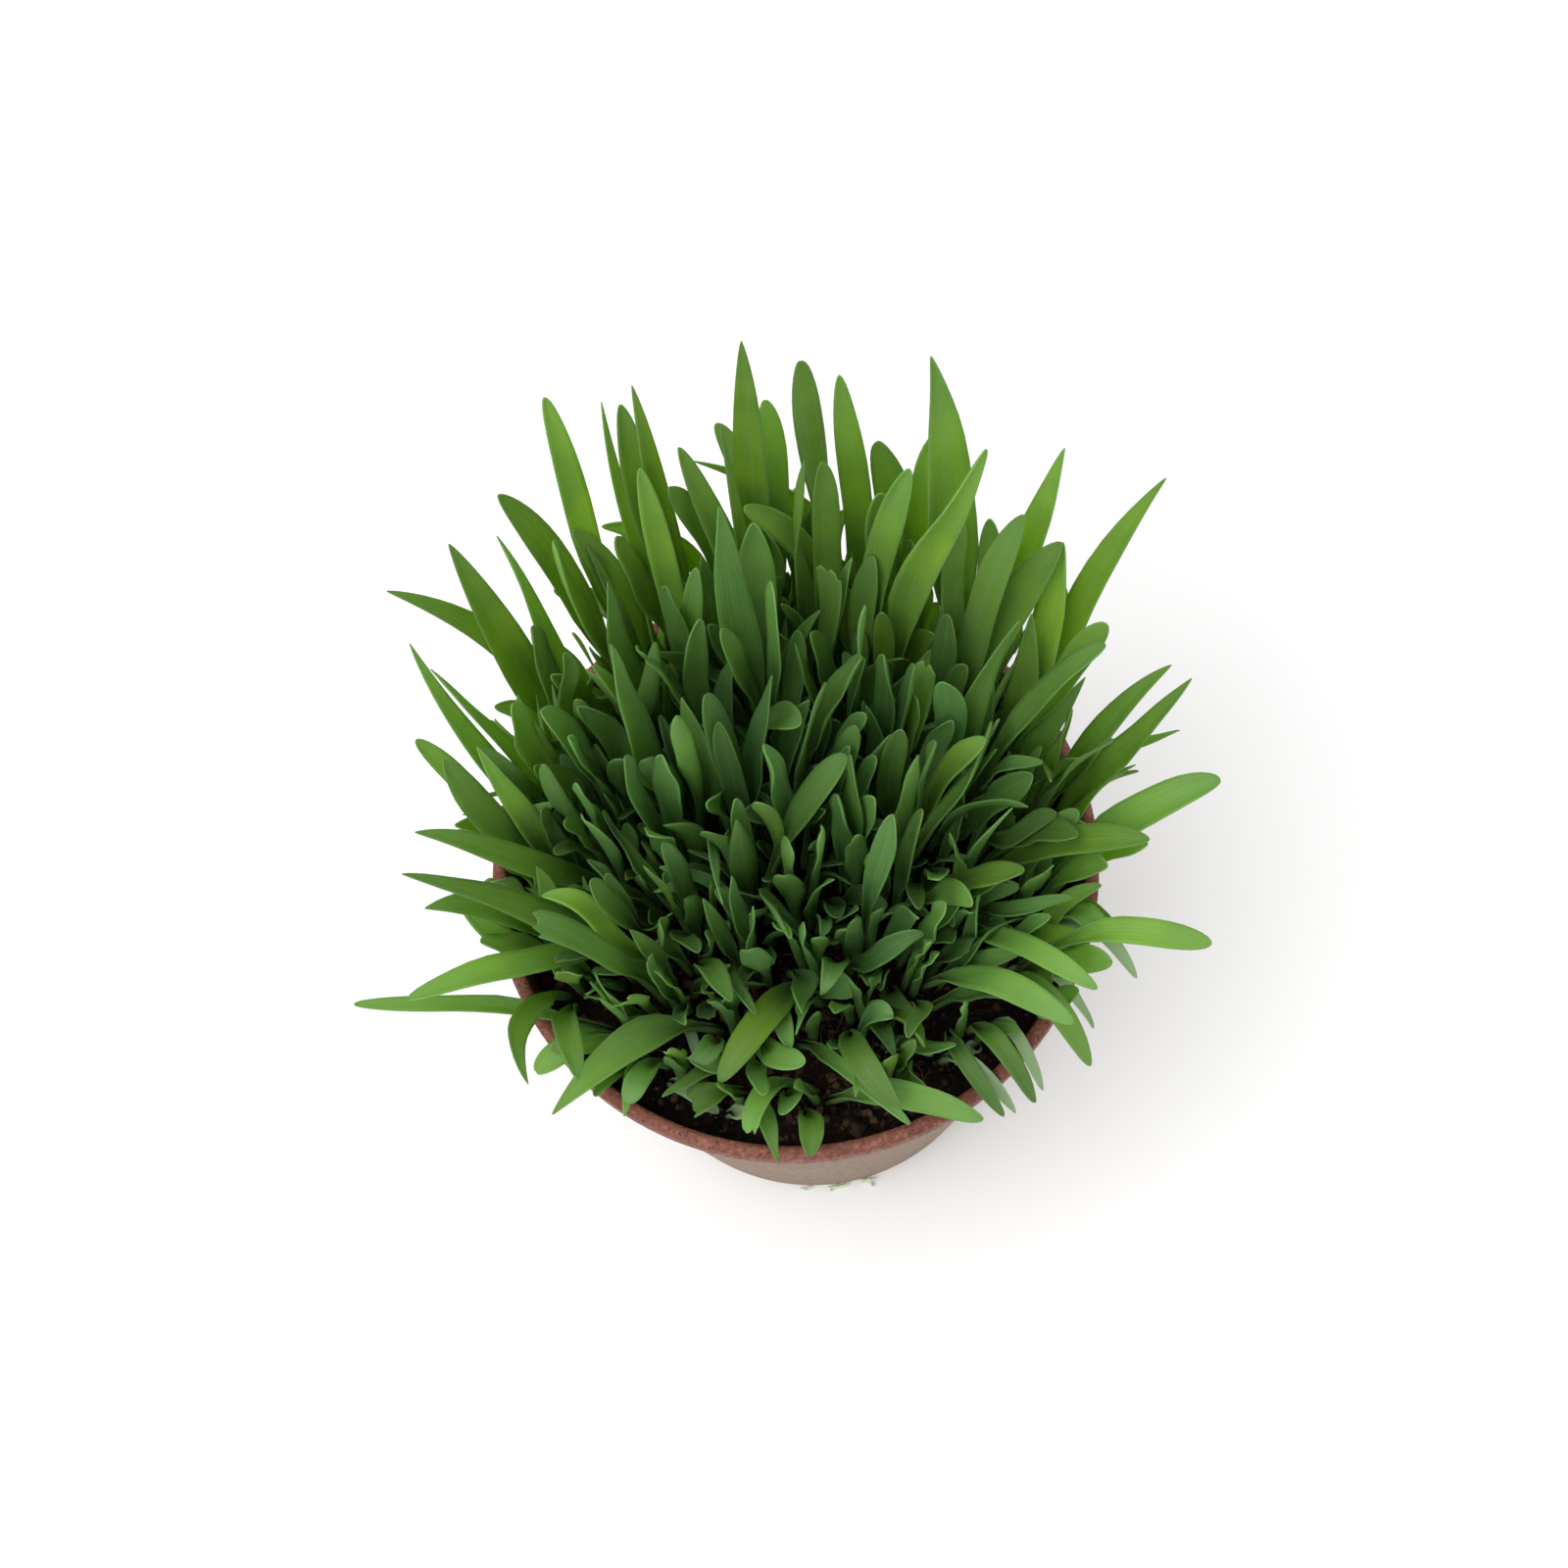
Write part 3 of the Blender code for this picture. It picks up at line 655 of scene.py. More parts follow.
def grain(tree, scale, detail=4.0, roughness=0.55):
    """The shared grain over the object's own coordinates, at this material's own scale."""
    inputs = {
        "Place": object_place(tree), "Scale": scale, "Detail": detail, "Roughness": roughness
    }
    group = bpy.data.node_groups.get("grain") or make_grain_group()
    return add_node(tree, "ShaderNodeGroup", inputs, node_tree=group).outputs["Grain"]


def attribute(tree, name):
    """A value stored on the mesh's points."""
    return add_node(tree, "ShaderNodeAttribute", attribute_name=name).outputs["Fac"]


def dress(tree, shader, colour, roughness, specular, relief, strength, depth):
    """Gives a shader its colour, its roughness, its shine and its relief."""
    heights = {"Height": relief, "Strength": strength, "Distance": depth}
    put(shader, "Base Color", colour)
    put(shader, "Roughness", roughness)
    put(shader, "Specular IOR Level", specular)
    put(shader, "Normal", add_node(tree, "ShaderNodeBump", heights).outputs["Normal"])


# materials

STREAK_GREEN = (0.17, 0.30, 0.11)
VEIN_GREEN = (0.20, 0.35, 0.14)
VEIN_COUNT = 25.0
RIM_MOTTLE = (0.22, 0.08, 0.055)
RIM_DARK_SPECKLE = (0.09, 0.04, 0.032)
RIM_PALE_SPECKLE = (0.30, 0.15, 0.11)
RIM_FLECK = (0.05, 0.025, 0.02)
WALL_MOTTLE = (0.20, 0.132, 0.086)
WALL_SPECKLE = (0.13, 0.08, 0.055)
INNER_WALL_DARK = (0.035, 0.02, 0.014)
PEAT = (0.026, 0.014, 0.009)
BARK = (0.12, 0.07, 0.04)

# a loose bit's colours, from its darkest to its lightest
CRUMB_COLOURS = ((0.004, 0.0025, 0.002), (0.11, 0.058, 0.032))
FIBRE_COLOURS = ((0.02, 0.011, 0.007), (0.20, 0.12, 0.065))
ROOT_COLOURS = ((0.34, 0.40, 0.24), (0.72, 0.76, 0.58))


def leaf_material(settings):
    """A living leaf: fine veins, a pale margin, a pale sheath, painted shade towards the base, and
    light that shines through.
    """
    material, tree, shader = new_material("leaf")
    along, across, tone, light, pale = (attribute(tree, name) for name in LEAF_LAYERS)
    streak_place = combine(
        tree, times(tree, across, 6.0), times(tree, along, 2.2), times(tree, tone, 60.0)
    )
    streaks = noise_texture(tree, streak_place, 1.5, 4.0)
    clouds = noise_texture(tree, object_place(tree), 70.0, 3.0, 0.55)
    ripple = math_node(tree, "SINE", times(tree, across, VEIN_COUNT))
    veins = math_node(tree, "MULTIPLY_ADD", ripple, 0.5, 0.5)
    edge = math_node(tree, "ABSOLUTE", across)
    green = layered(
        tree,
        settings.bloom_green,
        # painted light: leaves at the outside and back of the plant are mixed towards this green
        # for the light that shines through them
        (tone, settings.fresh_and_backlit_green),
        ((clouds, 0.35, 0.7, 0.0, 0.45), settings.older_green_and_base_shade),
        ((streaks, 0.42, 0.7, 0.0, 0.5), STREAK_GREEN),
        (times(tree, veins, 0.26), VEIN_GREEN),
        ((edge, 0.93, 1.0, 0.0, 0.4), settings.margin_green),
        ((along, 0.70, 1.0, 0.0, 0.4), settings.tip_green),
        # painted shade: the lower part of each blade is darkened towards its base
        ((along, 0.30, 0.62, 0.35, 0.0), settings.older_green_and_base_shade),
    )
    bright = map_range(tree, light, 0.0, 1.0, 0.74, 1.36)
    green = mix_colour(tree, 1.0, green, combine(tree, bright, bright, bright), "MULTIPLY")
    green = layered(
        tree,
        green,
        ((along, 0.10, 0.36, 0.9, 0.0), settings.sheath_green),
        ((edge, 0.0, 0.09, 0.28, 0.0), settings.margin_green),
        (pale, settings.pale_green),
    )
    gloss = map_range(tree, streaks, 0.3, 0.7, 0.45, 0.62)
    relief = math_node(tree, "MULTIPLY_ADD", veins, 0.5, times(tree, streaks, 0.8))
    dress(tree, shader, green, gloss, 0.3, relief, 0.5, 0.12 * MM)
    through = mix_colour(tree, 0.75, green, settings.through_green)
    glow = add_node(tree, "ShaderNodeBsdfTranslucent", {"Color": through})
    shaders = {0: settings.light_through, 1: shader.outputs[0], 2: glow.outputs[0]}
    blend = add_node(tree, "ShaderNodeMixShader", shaders)
    put(tree.nodes["Material Output"], "Surface", blend.outputs[0])
    return material


def pot_material(settings):
    """Moulded plastic: a speckled reddish rim over a paler, faintly mottled wall."""
    material, tree, shader = new_material("pot_plastic")
    place = object_place(tree)
    height = add_node(tree, "ShaderNodeSeparateXYZ", {0: place}).outputs["Z"]
    flat = add_node(
        tree, "ShaderNodeVectorMath", {0: place, 1: (1, 1, 0)}, operation="MULTIPLY"
    ).outputs[0]
    radius = add_node(
        tree, "ShaderNodeVectorMath", {0: flat}, operation="LENGTH"
    ).outputs["Value"]
    taper = (WALL_TOP_RADIUS - BASE_RADIUS) / POT_HEIGHT
    wall_radius = math_node(tree, "MULTIPLY_ADD", height, taper, BASE_RADIUS)
    past_wall = math_node(tree, "SUBTRACT", radius, wall_radius)
    outside = map_range(tree, past_wall, -0.9 * MM, -0.3 * MM)
    rim_low = POT_HEIGHT - RIM_HEIGHT
    below_rim = map_range(tree, height, rim_low - 0.4 * MM, rim_low + 0.1 * MM, 1.0, 0.0)
    mottle = grain(tree, 45.0, 6.0)
    speckle = grain(tree, 900.0, 3.0, 0.7)
    cells = {"Vector": place, "Scale": 1100.0, "Randomness": 1.0}
    fleck = add_node(tree, "ShaderNodeTexVoronoi", cells).outputs["Distance"]
    chosen = map_range(tree, grain(tree, 420.0, 2.0), 0.48, 0.56)
    rim = layered(
        tree,
        settings.rim_brown,
        ((mottle, 0.3, 0.7), RIM_MOTTLE),
        ((speckle, 0.52, 0.62, 0.0, 0.65), RIM_DARK_SPECKLE),
        ((speckle, 0.46, 0.38, 0.0, 0.5), RIM_PALE_SPECKLE),
        (times(tree, map_range(tree, fleck, 0.18, 0.34, 1.0, 0.0), chosen), RIM_FLECK),
    )
    wall = layered(
        tree,
        settings.wall_taupe,
        ((mottle, 0.3, 0.7, 0.0, 0.6), WALL_MOTTLE),
        ((speckle, 0.5, 0.66, 0.0, 0.35), WALL_SPECKLE),
    )
    # the inner wall turns darker towards the soil
    near_soil = map_range(tree, height, SOIL_TOP + 7 * MM, SOIL_TOP, 0.0, 0.8)
    inside = map_range(tree, past_wall, -0.6 * MM, -1.2 * MM)
    surface = layered(
        tree,
        rim,
        (times(tree, outside, below_rim), wall),
        (times(tree, near_soil, inside), INNER_WALL_DARK),
    )
    gloss = map_range(tree, speckle, 0.3, 0.7, 0.45, 0.7)
    relief = math_node(tree, "ADD", speckle, times(tree, mottle, 0.6))
    dress(tree, shader, surface, gloss, 0.22, relief, 0.25, 0.15 * MM)
    return material


def soil_material(settings):
    """Damp peat and bark: nearly black, with browner crumbs and a few pale flecks."""
    material, tree, shader = new_material("soil")
    broad = grain(tree, 90.0, 5.0, 0.6)
    fine = grain(tree, 700.0, 6.0, 0.75)
    earth = layered(
        tree,
        settings.soil_dark,
        ((broad, 0.35, 0.68), settings.soil_brown),
        ((fine, 0.45, 0.7, 0.0, 0.8), PEAT),
        ((fine, 0.66, 0.75, 0.0, 0.8), BARK),
    )
    gloss = map_range(tree, fine, 0.3, 0.7, 0.95, 0.7)
    dress(tree, shader, earth, gloss, 0.12, math_node(tree, "ADD", fine, broad), 1.0, 0.7 * MM)
    return material


def bit_material(name, colours):
    """A loose bit, such as a crumb, a fibre or a root: between two colours by its own tone."""
    material, tree, shader = new_material(name)
    speckle = grain(tree, 1400.0, 3.0, 0.7)
    share = map_range(tree, speckle, 0.25, 0.75, 0.5, 1.2)
    surface = mix_colour(tree, times(tree, attribute(tree, "tone"), share), *colours)
    gloss = map_range(tree, speckle, 0.3, 0.7, 0.7, 0.95)
    dress(tree, shader, surface, gloss, 0.25, speckle, 0.6, 0.2 * MM)
    return material


# pot


EDGE_ROUNDING = 0.8 * MM
MID_WALL = 50 * MM
LIP_STEPS = 10
LIP_RISE = 0.7
DRAIN_SEGMENTS = 32


def pot_profile():
    """Up the inside, over the rolled rim, down the wall and in under the foot to the axis."""
    rim_low = POT_HEIGHT - RIM_HEIGHT
    roll = RIM_LIP / 2
    rise = roll * LIP_RISE
    recess_outer = BASE_RADIUS - FOOT_WIDTH
    inside = ((4.2 * MM, 0.7 * MM), (6 * MM, 0), (MID_WALL, 0), (rim_low - 2 * MM, 0))
    profile = [(0, FLOOR_TOP), (inner_radius(FLOOR_TOP) - 2 * MM, FLOOR_TOP)]
    profile += [(inner_radius(z) - bow, z) for z, bow in inside]
    profile.append((RIM_RADIUS - RIM_LIP + 0.1 * MM, rim_low + 1.5 * MM))
    for k in range(LIP_STEPS + 1):
        turn = math.pi * (1 - k / LIP_STEPS)
        radius = RIM_RADIUS - roll + roll * math.cos(turn)
        profile.append((radius, POT_HEIGHT - rise + rise * math.sin(turn)))
    return profile + [
        (RIM_RADIUS, rim_low + 1.6 * MM),
        (RIM_RADIUS - 0.1 * MM, rim_low + 0.7 * MM),
        (RIM_RADIUS - 0.4 * MM, rim_low + 0.2 * MM),
        (outer_radius(rim_low) + 0.3 * MM, rim_low),
        (outer_radius(rim_low), rim_low - 0.3 * MM),
        (outer_radius(MID_WALL), MID_WALL),
        (outer_radius(2 * MM), 2 * MM),
        (BASE_RADIUS - 0.1 * MM, EDGE_ROUNDING),
        (BASE_RADIUS - 0.4 * MM, 0.2 * MM),
        (BASE_RADIUS - EDGE_ROUNDING, 0),
        (recess_outer, 0),
        (recess_outer - EDGE_ROUNDING, FOOT_HEIGHT),
        (PAD_RADIUS + EDGE_ROUNDING, FOOT_HEIGHT),
        (PAD_RADIUS, 0),
        (0, 0),
    ]


def drain_cutter():
    """Pegs that cut the drain holes, as one object to be removed after the cut."""
    circle = (PAD_RADIUS + BASE_RADIUS - FOOT_WIDTH) / 2
    shape = bmesh.new()
    for k in range(DRAIN_HOLES):
        place = polar(360 * (k + 0.5) / DRAIN_HOLES, circle, FOOT_HEIGHT + FLOOR / 2)
        bmesh.ops.create_cone(
            shape,
            cap_ends=True,
            segments=DRAIN_SEGMENTS,
            radius1=DRAIN_DIAMETER / 2,
            radius2=DRAIN_DIAMETER / 2,
            depth=FLOOR * 3,
            matrix=Matrix.Translation(place),
        )
    return mesh_object("drain_cutter", shape)


def make_pot(settings):
    """The moulded pot, with its drain holes cut through the floor."""
    shape = turned(pot_profile(), settings.pot_segments)
    pot = finish_piece("nursery_pot", shape, pot_material(settings), POT_SMOOTH)
    cutter = drain_cutter()
    cut = pot.modifiers.new("Drain", "BOOLEAN")
    cut.object = cutter
    cut.operation = "DIFFERENCE"
    cut.solver = "EXACT"
    drained = pot.evaluated_get(bpy.context.evaluated_depsgraph_get())
    drained_mesh = bpy.data.meshes.new_from_object(drained)
    pot.modifiers.clear()
    pot.data = drained_mesh
    bpy.data.objects.remove(cutter)
    pot.data.set_sharp_from_angle(angle=POT_SMOOTH)
    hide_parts("pot")


# soil


CLOD_SCALE = 120
CLOD_HEIGHT = 1.2
CRUST_SCALE = 520
CRUST_HEIGHT = 0.8
CRUST_SHIFT = Vector((7, 3, 1))
WALL_MARGIN = 4 * MM
WALL_SINK = 0.8 * MM

# a crumb's size in mm, from its least and what chance adds, and its flattening
CRUMB_LEAST = 0.3
CRUMB_SPREAD = 1.1
CRUMB_BREADTH = (0.5, 1.2)
CRUMB_DEPTH = (0.4, 0.9)
CRUMB_ROUGHNESS = 0.22

# a fibre's points, its step and radius in mm, its turn at each point, and how it tapers
FIBRE_POINTS = 5
FIBRE_STEP = (0.6, 1.3)
FIBRE_RADIUS = (0.06, 0.14)
FIBRE_TURN = 35
THREAD_TAPER = 0.5

# the bearing of the bare front, and how loose bits scatter about it
FRONT_BEARING = 270
FRONT_SPREAD = 38


def soil_relief(x, y):
    """The fine height of the soil over its gently uneven top: clods, crumbs and pits."""
    place = Vector((x, y, 0))
    clods = noise.fractal(place * CLOD_SCALE, 1.0, 2.0, 3)
    crust = noise.fractal(place * CRUST_SCALE + CRUST_SHIFT, 0.9, 2.1, 3)
    edge = soil_radius(SOIL_TOP)
    wall = smooth_step(edge - WALL_MARGIN, edge, math.hypot(x, y))
    return (clods * CLOD_HEIGHT + crust * CRUST_HEIGHT) * MM * (1 - wall) - WALL_SINK * wall


def on_soil(place):
    """A place moved up or down on to the soil's rough top."""
    place.z = soil_height(place.x, place.y) + soil_relief(place.x, place.y)
    return place


def soil_profile(rings):
    """The plug's half section: its top from the axis to the wall, its side and its underside."""
    bottom = FLOOR_TOP + FIT_GAP
    top_radius = soil_radius(SOIL_TOP)
    rows = [(top_radius * k / rings, SOIL_TOP) for k in range(rings + 1)]
    return rows + [(soil_radius(bottom), bottom), (0, bottom)]


def make_soil(settings):
    """The plug of soil with its rough top."""
    shape = turned(soil_profile(settings.soil_rings), settings.soil_segments)
    for point in shape.verts:
        if point.co.z > SOIL_TOP - 1 * MM:
            on_soil(point.co)
    soil = finish_piece("soil_plug", shape, soil_material(settings))
    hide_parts("potting_soil")


def soil_point(chance, outermost, forward):
    """A random point on the soil's top, from the bare front for that share of them."""
    radius = outermost * math.sqrt(chance.random())
    if chance.random() < forward:
        bearing = chance.gauss(FRONT_BEARING, FRONT_SPREAD)
    else:
        bearing = chance.uniform(0, 360)
    return on_soil(polar(bearing, radius))


def random_turn(chance):
    """A rotation about three random angles."""
    turn = Matrix.Identity(4)
    for axis in "ZXY":
        turn = turn @ Matrix.Rotation(chance.uniform(0, math.tau), 4, axis)
    return turn


def bits_shape():
    """A bmesh for loose bits, and its layer for the tone of each."""
    shape = bmesh.new()
    return shape, shape.verts.layers.float.new("tone")


def make_crumbs(settings):
    """Loose crumbs of peat and bark on the soil, mostly small."""
    chance = random.Random(settings.seed + 1)
    shape, tone_layer = bits_shape()
    for _ in range(settings.crumb_count):
        place = soil_point(chance, soil_radius(SOIL_TOP) - 1.5 * MM, 0.6)
        size = (CRUMB_LEAST + CRUMB_SPREAD * chance.random() ** 3) * MM
        breadth = chance.uniform(*CRUMB_BREADTH)
        flat = Matrix.Diagonal((1, breadth, chance.uniform(*CRUMB_DEPTH), 1))
        where = Matrix.Translation(place) @ random_turn(chance) @ Matrix.Scale(size, 4) @ flat
        made = bmesh.ops.create_icosphere(shape, subdivisions=1, radius=1.0, matrix=where)
        tone = chance.random() ** 2.5
        rough = CRUMB_ROUGHNESS
        for vert in made["verts"]:
            vert.co += Vector([chance.uniform(-rough, rough) * size for _ in range(3)])
            vert[tone_layer] = tone
    material = bit_material("crumb", CRUMB_COLOURS)
    finish_piece("soil_crumbs", shape, material, CRUMB_SMOOTH)


def add_thread(shape, layer, points, radius, tone, sides=4):
    """A thin tapering tube along points, closed at both ends, of bridged rings."""
    rings = []
    last = len(points) - 1
    for k, point in enumerate(points):
        ahead = points[min(k + 1, last)] - points[max(k - 1, 0)]
        turn = ahead.to_track_quat("Z", "Y").to_matrix().to_4x4()
        size = radius * (1 - THREAD_TAPER * k / last)
        where = Matrix.Translation(point) @ turn
        made = bmesh.ops.create_circle(shape, segments=sides, radius=size, matrix=where)["verts"]
        for vert in made:
            vert[layer] = tone
        rings.append([shape.edges.get(pair) for pair in zip(made, made[1:] + made[:1])])
        if k:
            bmesh.ops.bridge_loops(shape, edges=rings[-2] + rings[-1])
    for end in (rings[0], rings[-1]):
        bmesh.ops.contextual_create(shape, geom=end)


def make_fibres(settings):
    """Peat fibres lying on the soil, each a short bent thread."""
    chance = random.Random(settings.seed + 2)
    shape, tone_layer = bits_shape()
    for _ in range(settings.fibre_count):
        place = soil_point(chance, soil_radius(SOIL_TOP) - 5 * MM, 0.5)
        heading = chance.uniform(0, 360)
        points = []
        for _ in range(FIBRE_POINTS):
            points.append(place + UP * (0.35 + 0.5 * chance.random()) * MM)
            heading += chance.uniform(-FIBRE_TURN, FIBRE_TURN)
            place = on_soil(place + polar(heading, chance.uniform(*FIBRE_STEP) * MM))
        radius = chance.uniform(*FIBRE_RADIUS) * MM
        add_thread(shape, tone_layer, points, radius, chance.random())
    bmesh.ops.recalc_face_normals(shape, faces=shape.faces)
    material = bit_material("fibre", FIBRE_COLOURS)
    finish_piece("soil_fibres", shape, material, THREAD_SMOOTH)


# grass

# pale sprouts: root bearing and distance from the axis, tip bearing and distance,
# the tip's height over the soil, width and how far the spine is lifted
SPROUTS = (
    (233, 49, 246, 51.5, 3, 4.2, 10),
    (248, 50.5, 257, 50.5, 3, 3.6, 6),
    (258, 44, 251, 50, 2, 2.8, 5),
    (299, 48, 303, 65, 3, 3.4, 26),
    (313, 50, 309, 66, 4, 3.2, 27),
    (307, 51, 300, 51, 4, 3.6, 9),
    (276, 40, 283, 47, 4, 3.4, 8),
    (290, 40, 297, 47, 5, 3.4, 8),
    (322, 47, 329, 51, 3, 3.6, 8),
    (216, 49, 222, 52, 2, 3.2, 6),
    (228, 37, 238, 44, 4, 3.2, 8),
    (327, 50, 323, 67, 3, 3.0, 27),
    (338, 50, 333, 71, 8, 3.4, 30),
)
# roots at the foot: bearings and distances from the axis in mm, and how many
STRAY_ROOTS = ((219, 45, 1), (264, 44.5, 1), (272, 44.5, 3), (276, 44.5, 3))
ROOT_POINTS = 6
ROOT_SIDES = 7
ROOT_LEAST_HEIGHT = 0.8 * MM
ROOT_GAP = 0.6 * MM
ROOT_STEP = (0.35, 0.75)
ROOT_RISE = (-0.3, 0.5)
ROOT_RADIUS = (0.4, 0.75)
ROOT_TURN = 40

# a visible blade: (where it widens, where it is full, where its tip begins, tip power, tip root)
BLADES = {
    "lance": (0.22, 0.50, 0.42, 1.8, 0.80),
    "strap": (0.22, 0.50, 0.62, 2.6, 0.56),
    "spoon": (0.34, 0.72, 0.74, 2.5, 0.50),
}
LEAF_LAYERS = ("along", "across", "tone", "light", "pale")
LEAF_COLUMNS = 6
LEAF_ROWS = 16
TEST_COLUMNS = 2
TEST_ROWS = 9
SHEATH_GIRTH = 4.4 * MM
SHEATH_CURL = 5.2
STYLE_TRIES = 5
STEM_DEPTH = 0.5 * MM

# how much slimmer a blade is than its plain outline, by outline, in an arch and in front
SLIMNESS = {"lance": (0.76, 0.98), "strap": (0.7, 0.94), "spoon": (0.72, 0.96)}
ARCH_HEIGHT = POT_HEIGHT + 30 * MM
ARCH_SLIMNESS = 0.85
FRONT_REACH = 22 * MM
FRONT_SLIMNESS = 0.92
BROAD_BLADE = 6 * MM
BROAD_LOSS = {"lance": 0.2, "strap": 0.5, "spoon": 0.5}
GIRTH_PER_WIDTH = 1.06

# a blade's own shape: its trough, its twist in degrees, how far it hooks, swerves and sways
# as shares of its length, its ripple in mm, where its cut is, and where each begins
CURL = (0.3, 1.6)
TIP_CURL = (-0.2, 1.5)
TWIST = 24
HOOK = (0.02, 0.09)
SWERVE = 0.08
SWAY = 0.035
SKEW = 0.16
WILD_SMALL = 1.2
WILD_TALL = 0.35
RIPPLE = (0.05, 0.6)
RIPPLES = (9, 20)
CUT_LENGTH = 0.82
CUT_SHARE = 0.035
CUT_TEAR = 0.02
TWIST_START = 0.35
TIP_CURL_START = 0.75
LATE_START = 0.55

# undergrowth: its height as a share of the plant's, its width in mm, its root's distance from
# the crown in mm, and the scatter of its bearing, bow and roll
UNDERGROWTH_TRIES = 36
UNDERGROWTH_OUTLINES = ("spoon", "spoon", "spoon", "strap", "lance")
UNDERGROWTH_HEIGHTS = (0.35, 1.0)
UNDERGROWTH_WIDTH_SHARES = (0.04, 0.085)
UNDERGROWTH_FRONT_WIDTH = (0.8, 3.4)
UNDERGROWTH_ROOTS = (2.0, 8.0)
UNDERGROWTH_SPREAD = 70
UNDERGROWTH_ROLL = (38, 14)
WALL_ROOT_GAP = 2.5 * MM

# how far forward the plant turns low, and how far out and back its leaves are painted yellower for
# the light that shines through them there
FRONT_FADE = (-18 * MM, 28 * MM)
BACKLIT_OUTSIDE = (26 * MM, 74 * MM)
BACKLIT_BEHIND = (8 * MM, 48 * MM)


class Style:
    """How a blade differs from its plain outline, more so with more freedom, from 0 to 1."""

    def __init__(self, chance, leaf, freedom, small=False):
        wild = WILD_SMALL if small else WILD_TALL
        self.slim = chance.uniform(*SLIMNESS[leaf.outline])
        if leaf.outline == "strap" and leaf.bend.z > ARCH_HEIGHT and leaf.tip.z < ARCH_HEIGHT:
            self.slim *= ARCH_SLIMNESS
        elif not small and leaf.tip.y < -FRONT_REACH:
            self.slim *= FRONT_SLIMNESS
        self.curl = chance.uniform(*CURL)
        self.tip_curl = chance.uniform(*TIP_CURL) * freedom
        self.twist = math.radians(chance.gauss(0, TWIST) * freedom * math.sqrt(wild))
        self.hook = chance.gauss(*HOOK) * freedom * wild
        self.swerve = chance.gauss(0, SWERVE) * freedom * wild
        self.sway = chance.gauss(0, SWAY) * freedom * wild
        self.skew = chance.uniform(-SKEW, SKEW)
        self.ripple = chance.uniform(*RIPPLE) * MM * freedom
        self.ripples = chance.uniform(*RIPPLES)
        self.phase = chance.uniform(0, math.tau)
        self.cut = CUT_LENGTH if chance.random() < CUT_SHARE else 1.0


def leaf_point(leaf, style, across, along):
    """A point of the blade's middle surface: rolled up in the sheath, a shallow trough above."""
    if style.cut < 1:
        along *= style.cut + CUT_TEAR * math.sin(across * 7 + style.phase)
    start, full, taper, power, root = BLADES[leaf.outline]
    opened = smooth_step(start * 0.7, full * 0.9, along)
    past = max(0.0, (along - taper) / (1 - taper))
    end = (1 - past**power) ** root
    broad = max(0.0, leaf.width - BROAD_BLADE)
    blade = (leaf.width - broad * BROAD_LOSS[leaf.outline]) * style.slim * GIRTH_PER_WIDTH
    girth = (SHEATH_GIRTH + (blade - SHEATH_GIRTH) * smooth_step(start, full, along)) * end
    curl = SHEATH_CURL + (style.curl - SHEATH_CURL) * opened
    curl += style.tip_curl * smooth_step(TIP_CURL_START, 1.0, along)
    bend = girth / curl
    angle = across * curl / 2
    mean = bend * (1 - math.sin(curl / 2) / (curl / 2))
    side, face = leaf.frame(along)
    turn = style.twist * smooth_step(TWIST_START, 1.0, along)
    cosine, sine = math.cos(turn), math.sin(turn)
    side, face = side * cosine + face * sine, face * cosine - side * sine
    wave = math.sin(along * style.ripples + style.phase + across)
    lift = style.ripple * wave * across * abs(across) * opened * end
    length = (leaf.tip - leaf.root).length
    late = max(0.0, along - LATE_START) ** 2
    sideways = style.swerve * late * 4 + style.sway * math.sin(along * 4) * opened
    stray = (face * (style.hook * late * 4) + side * sideways) * length
    spread = bend * math.sin(angle) * (1 + style.skew * across * opened)
    depth = bend * (1 - math.cos(angle)) - mean + lift
    return leaf.spine(along) + stray + side * spread + face * depth


def leaf_surface(leaf, style):
    """Corners and faces of the blade's middle surface, for a look at what it crosses."""
    points = []
    for row in range(TEST_ROWS + 1):
        along = math.sin(row / TEST_ROWS * math.pi / 2)
        for column in range(TEST_COLUMNS + 1):
            points.append(leaf_point(leaf, style, 2 * column / TEST_COLUMNS - 1, along))
    faces = []
    for row in range(TEST_ROWS):
        for column in range(TEST_COLUMNS):
            near = row * (TEST_COLUMNS + 1) + column
            far = near + TEST_COLUMNS + 1
            faces.append((near, near + 1, far + 1, far))
    return points, faces


class Thicket:
    """The visible leaves that stand so far. A new one must not cross them."""

    def __init__(self):
        self.surfaces = []

    def measure(self, leaf, style):
        """A blade's middle, its reach from there, its search tree and its points."""
        points, faces = leaf_surface(leaf, style)
        middle = sum(points, Vector()) / len(points)
        reach = max((point - middle).length for point in points)
        return middle, reach, BVHTree.FromPolygons(points, faces), points

    def crosses(self, surface):
        """Whether a measured blade crosses one that stands."""
        middle, reach, tree, _ = surface
        for other_middle, other_reach, other_tree, _ in self.surfaces:
            near = (middle - other_middle).length < reach + other_reach
            if near and tree.overlap(other_tree):
                return True
        return False

    def add(self, surface):
        """Lets a measured blade stand."""
        self.surfaces.append(surface)


def clear_of_rim(points):
    """Whether a blade's points pass over the pot's rim and stay inside its wall below that."""
    for point in points:
        radius = math.hypot(point.x, point.y)
        if radius > inner_radius(POT_HEIGHT) - RIM_LIP and point.z < POT_HEIGHT + 0.5 * MM:
            return False
    return True


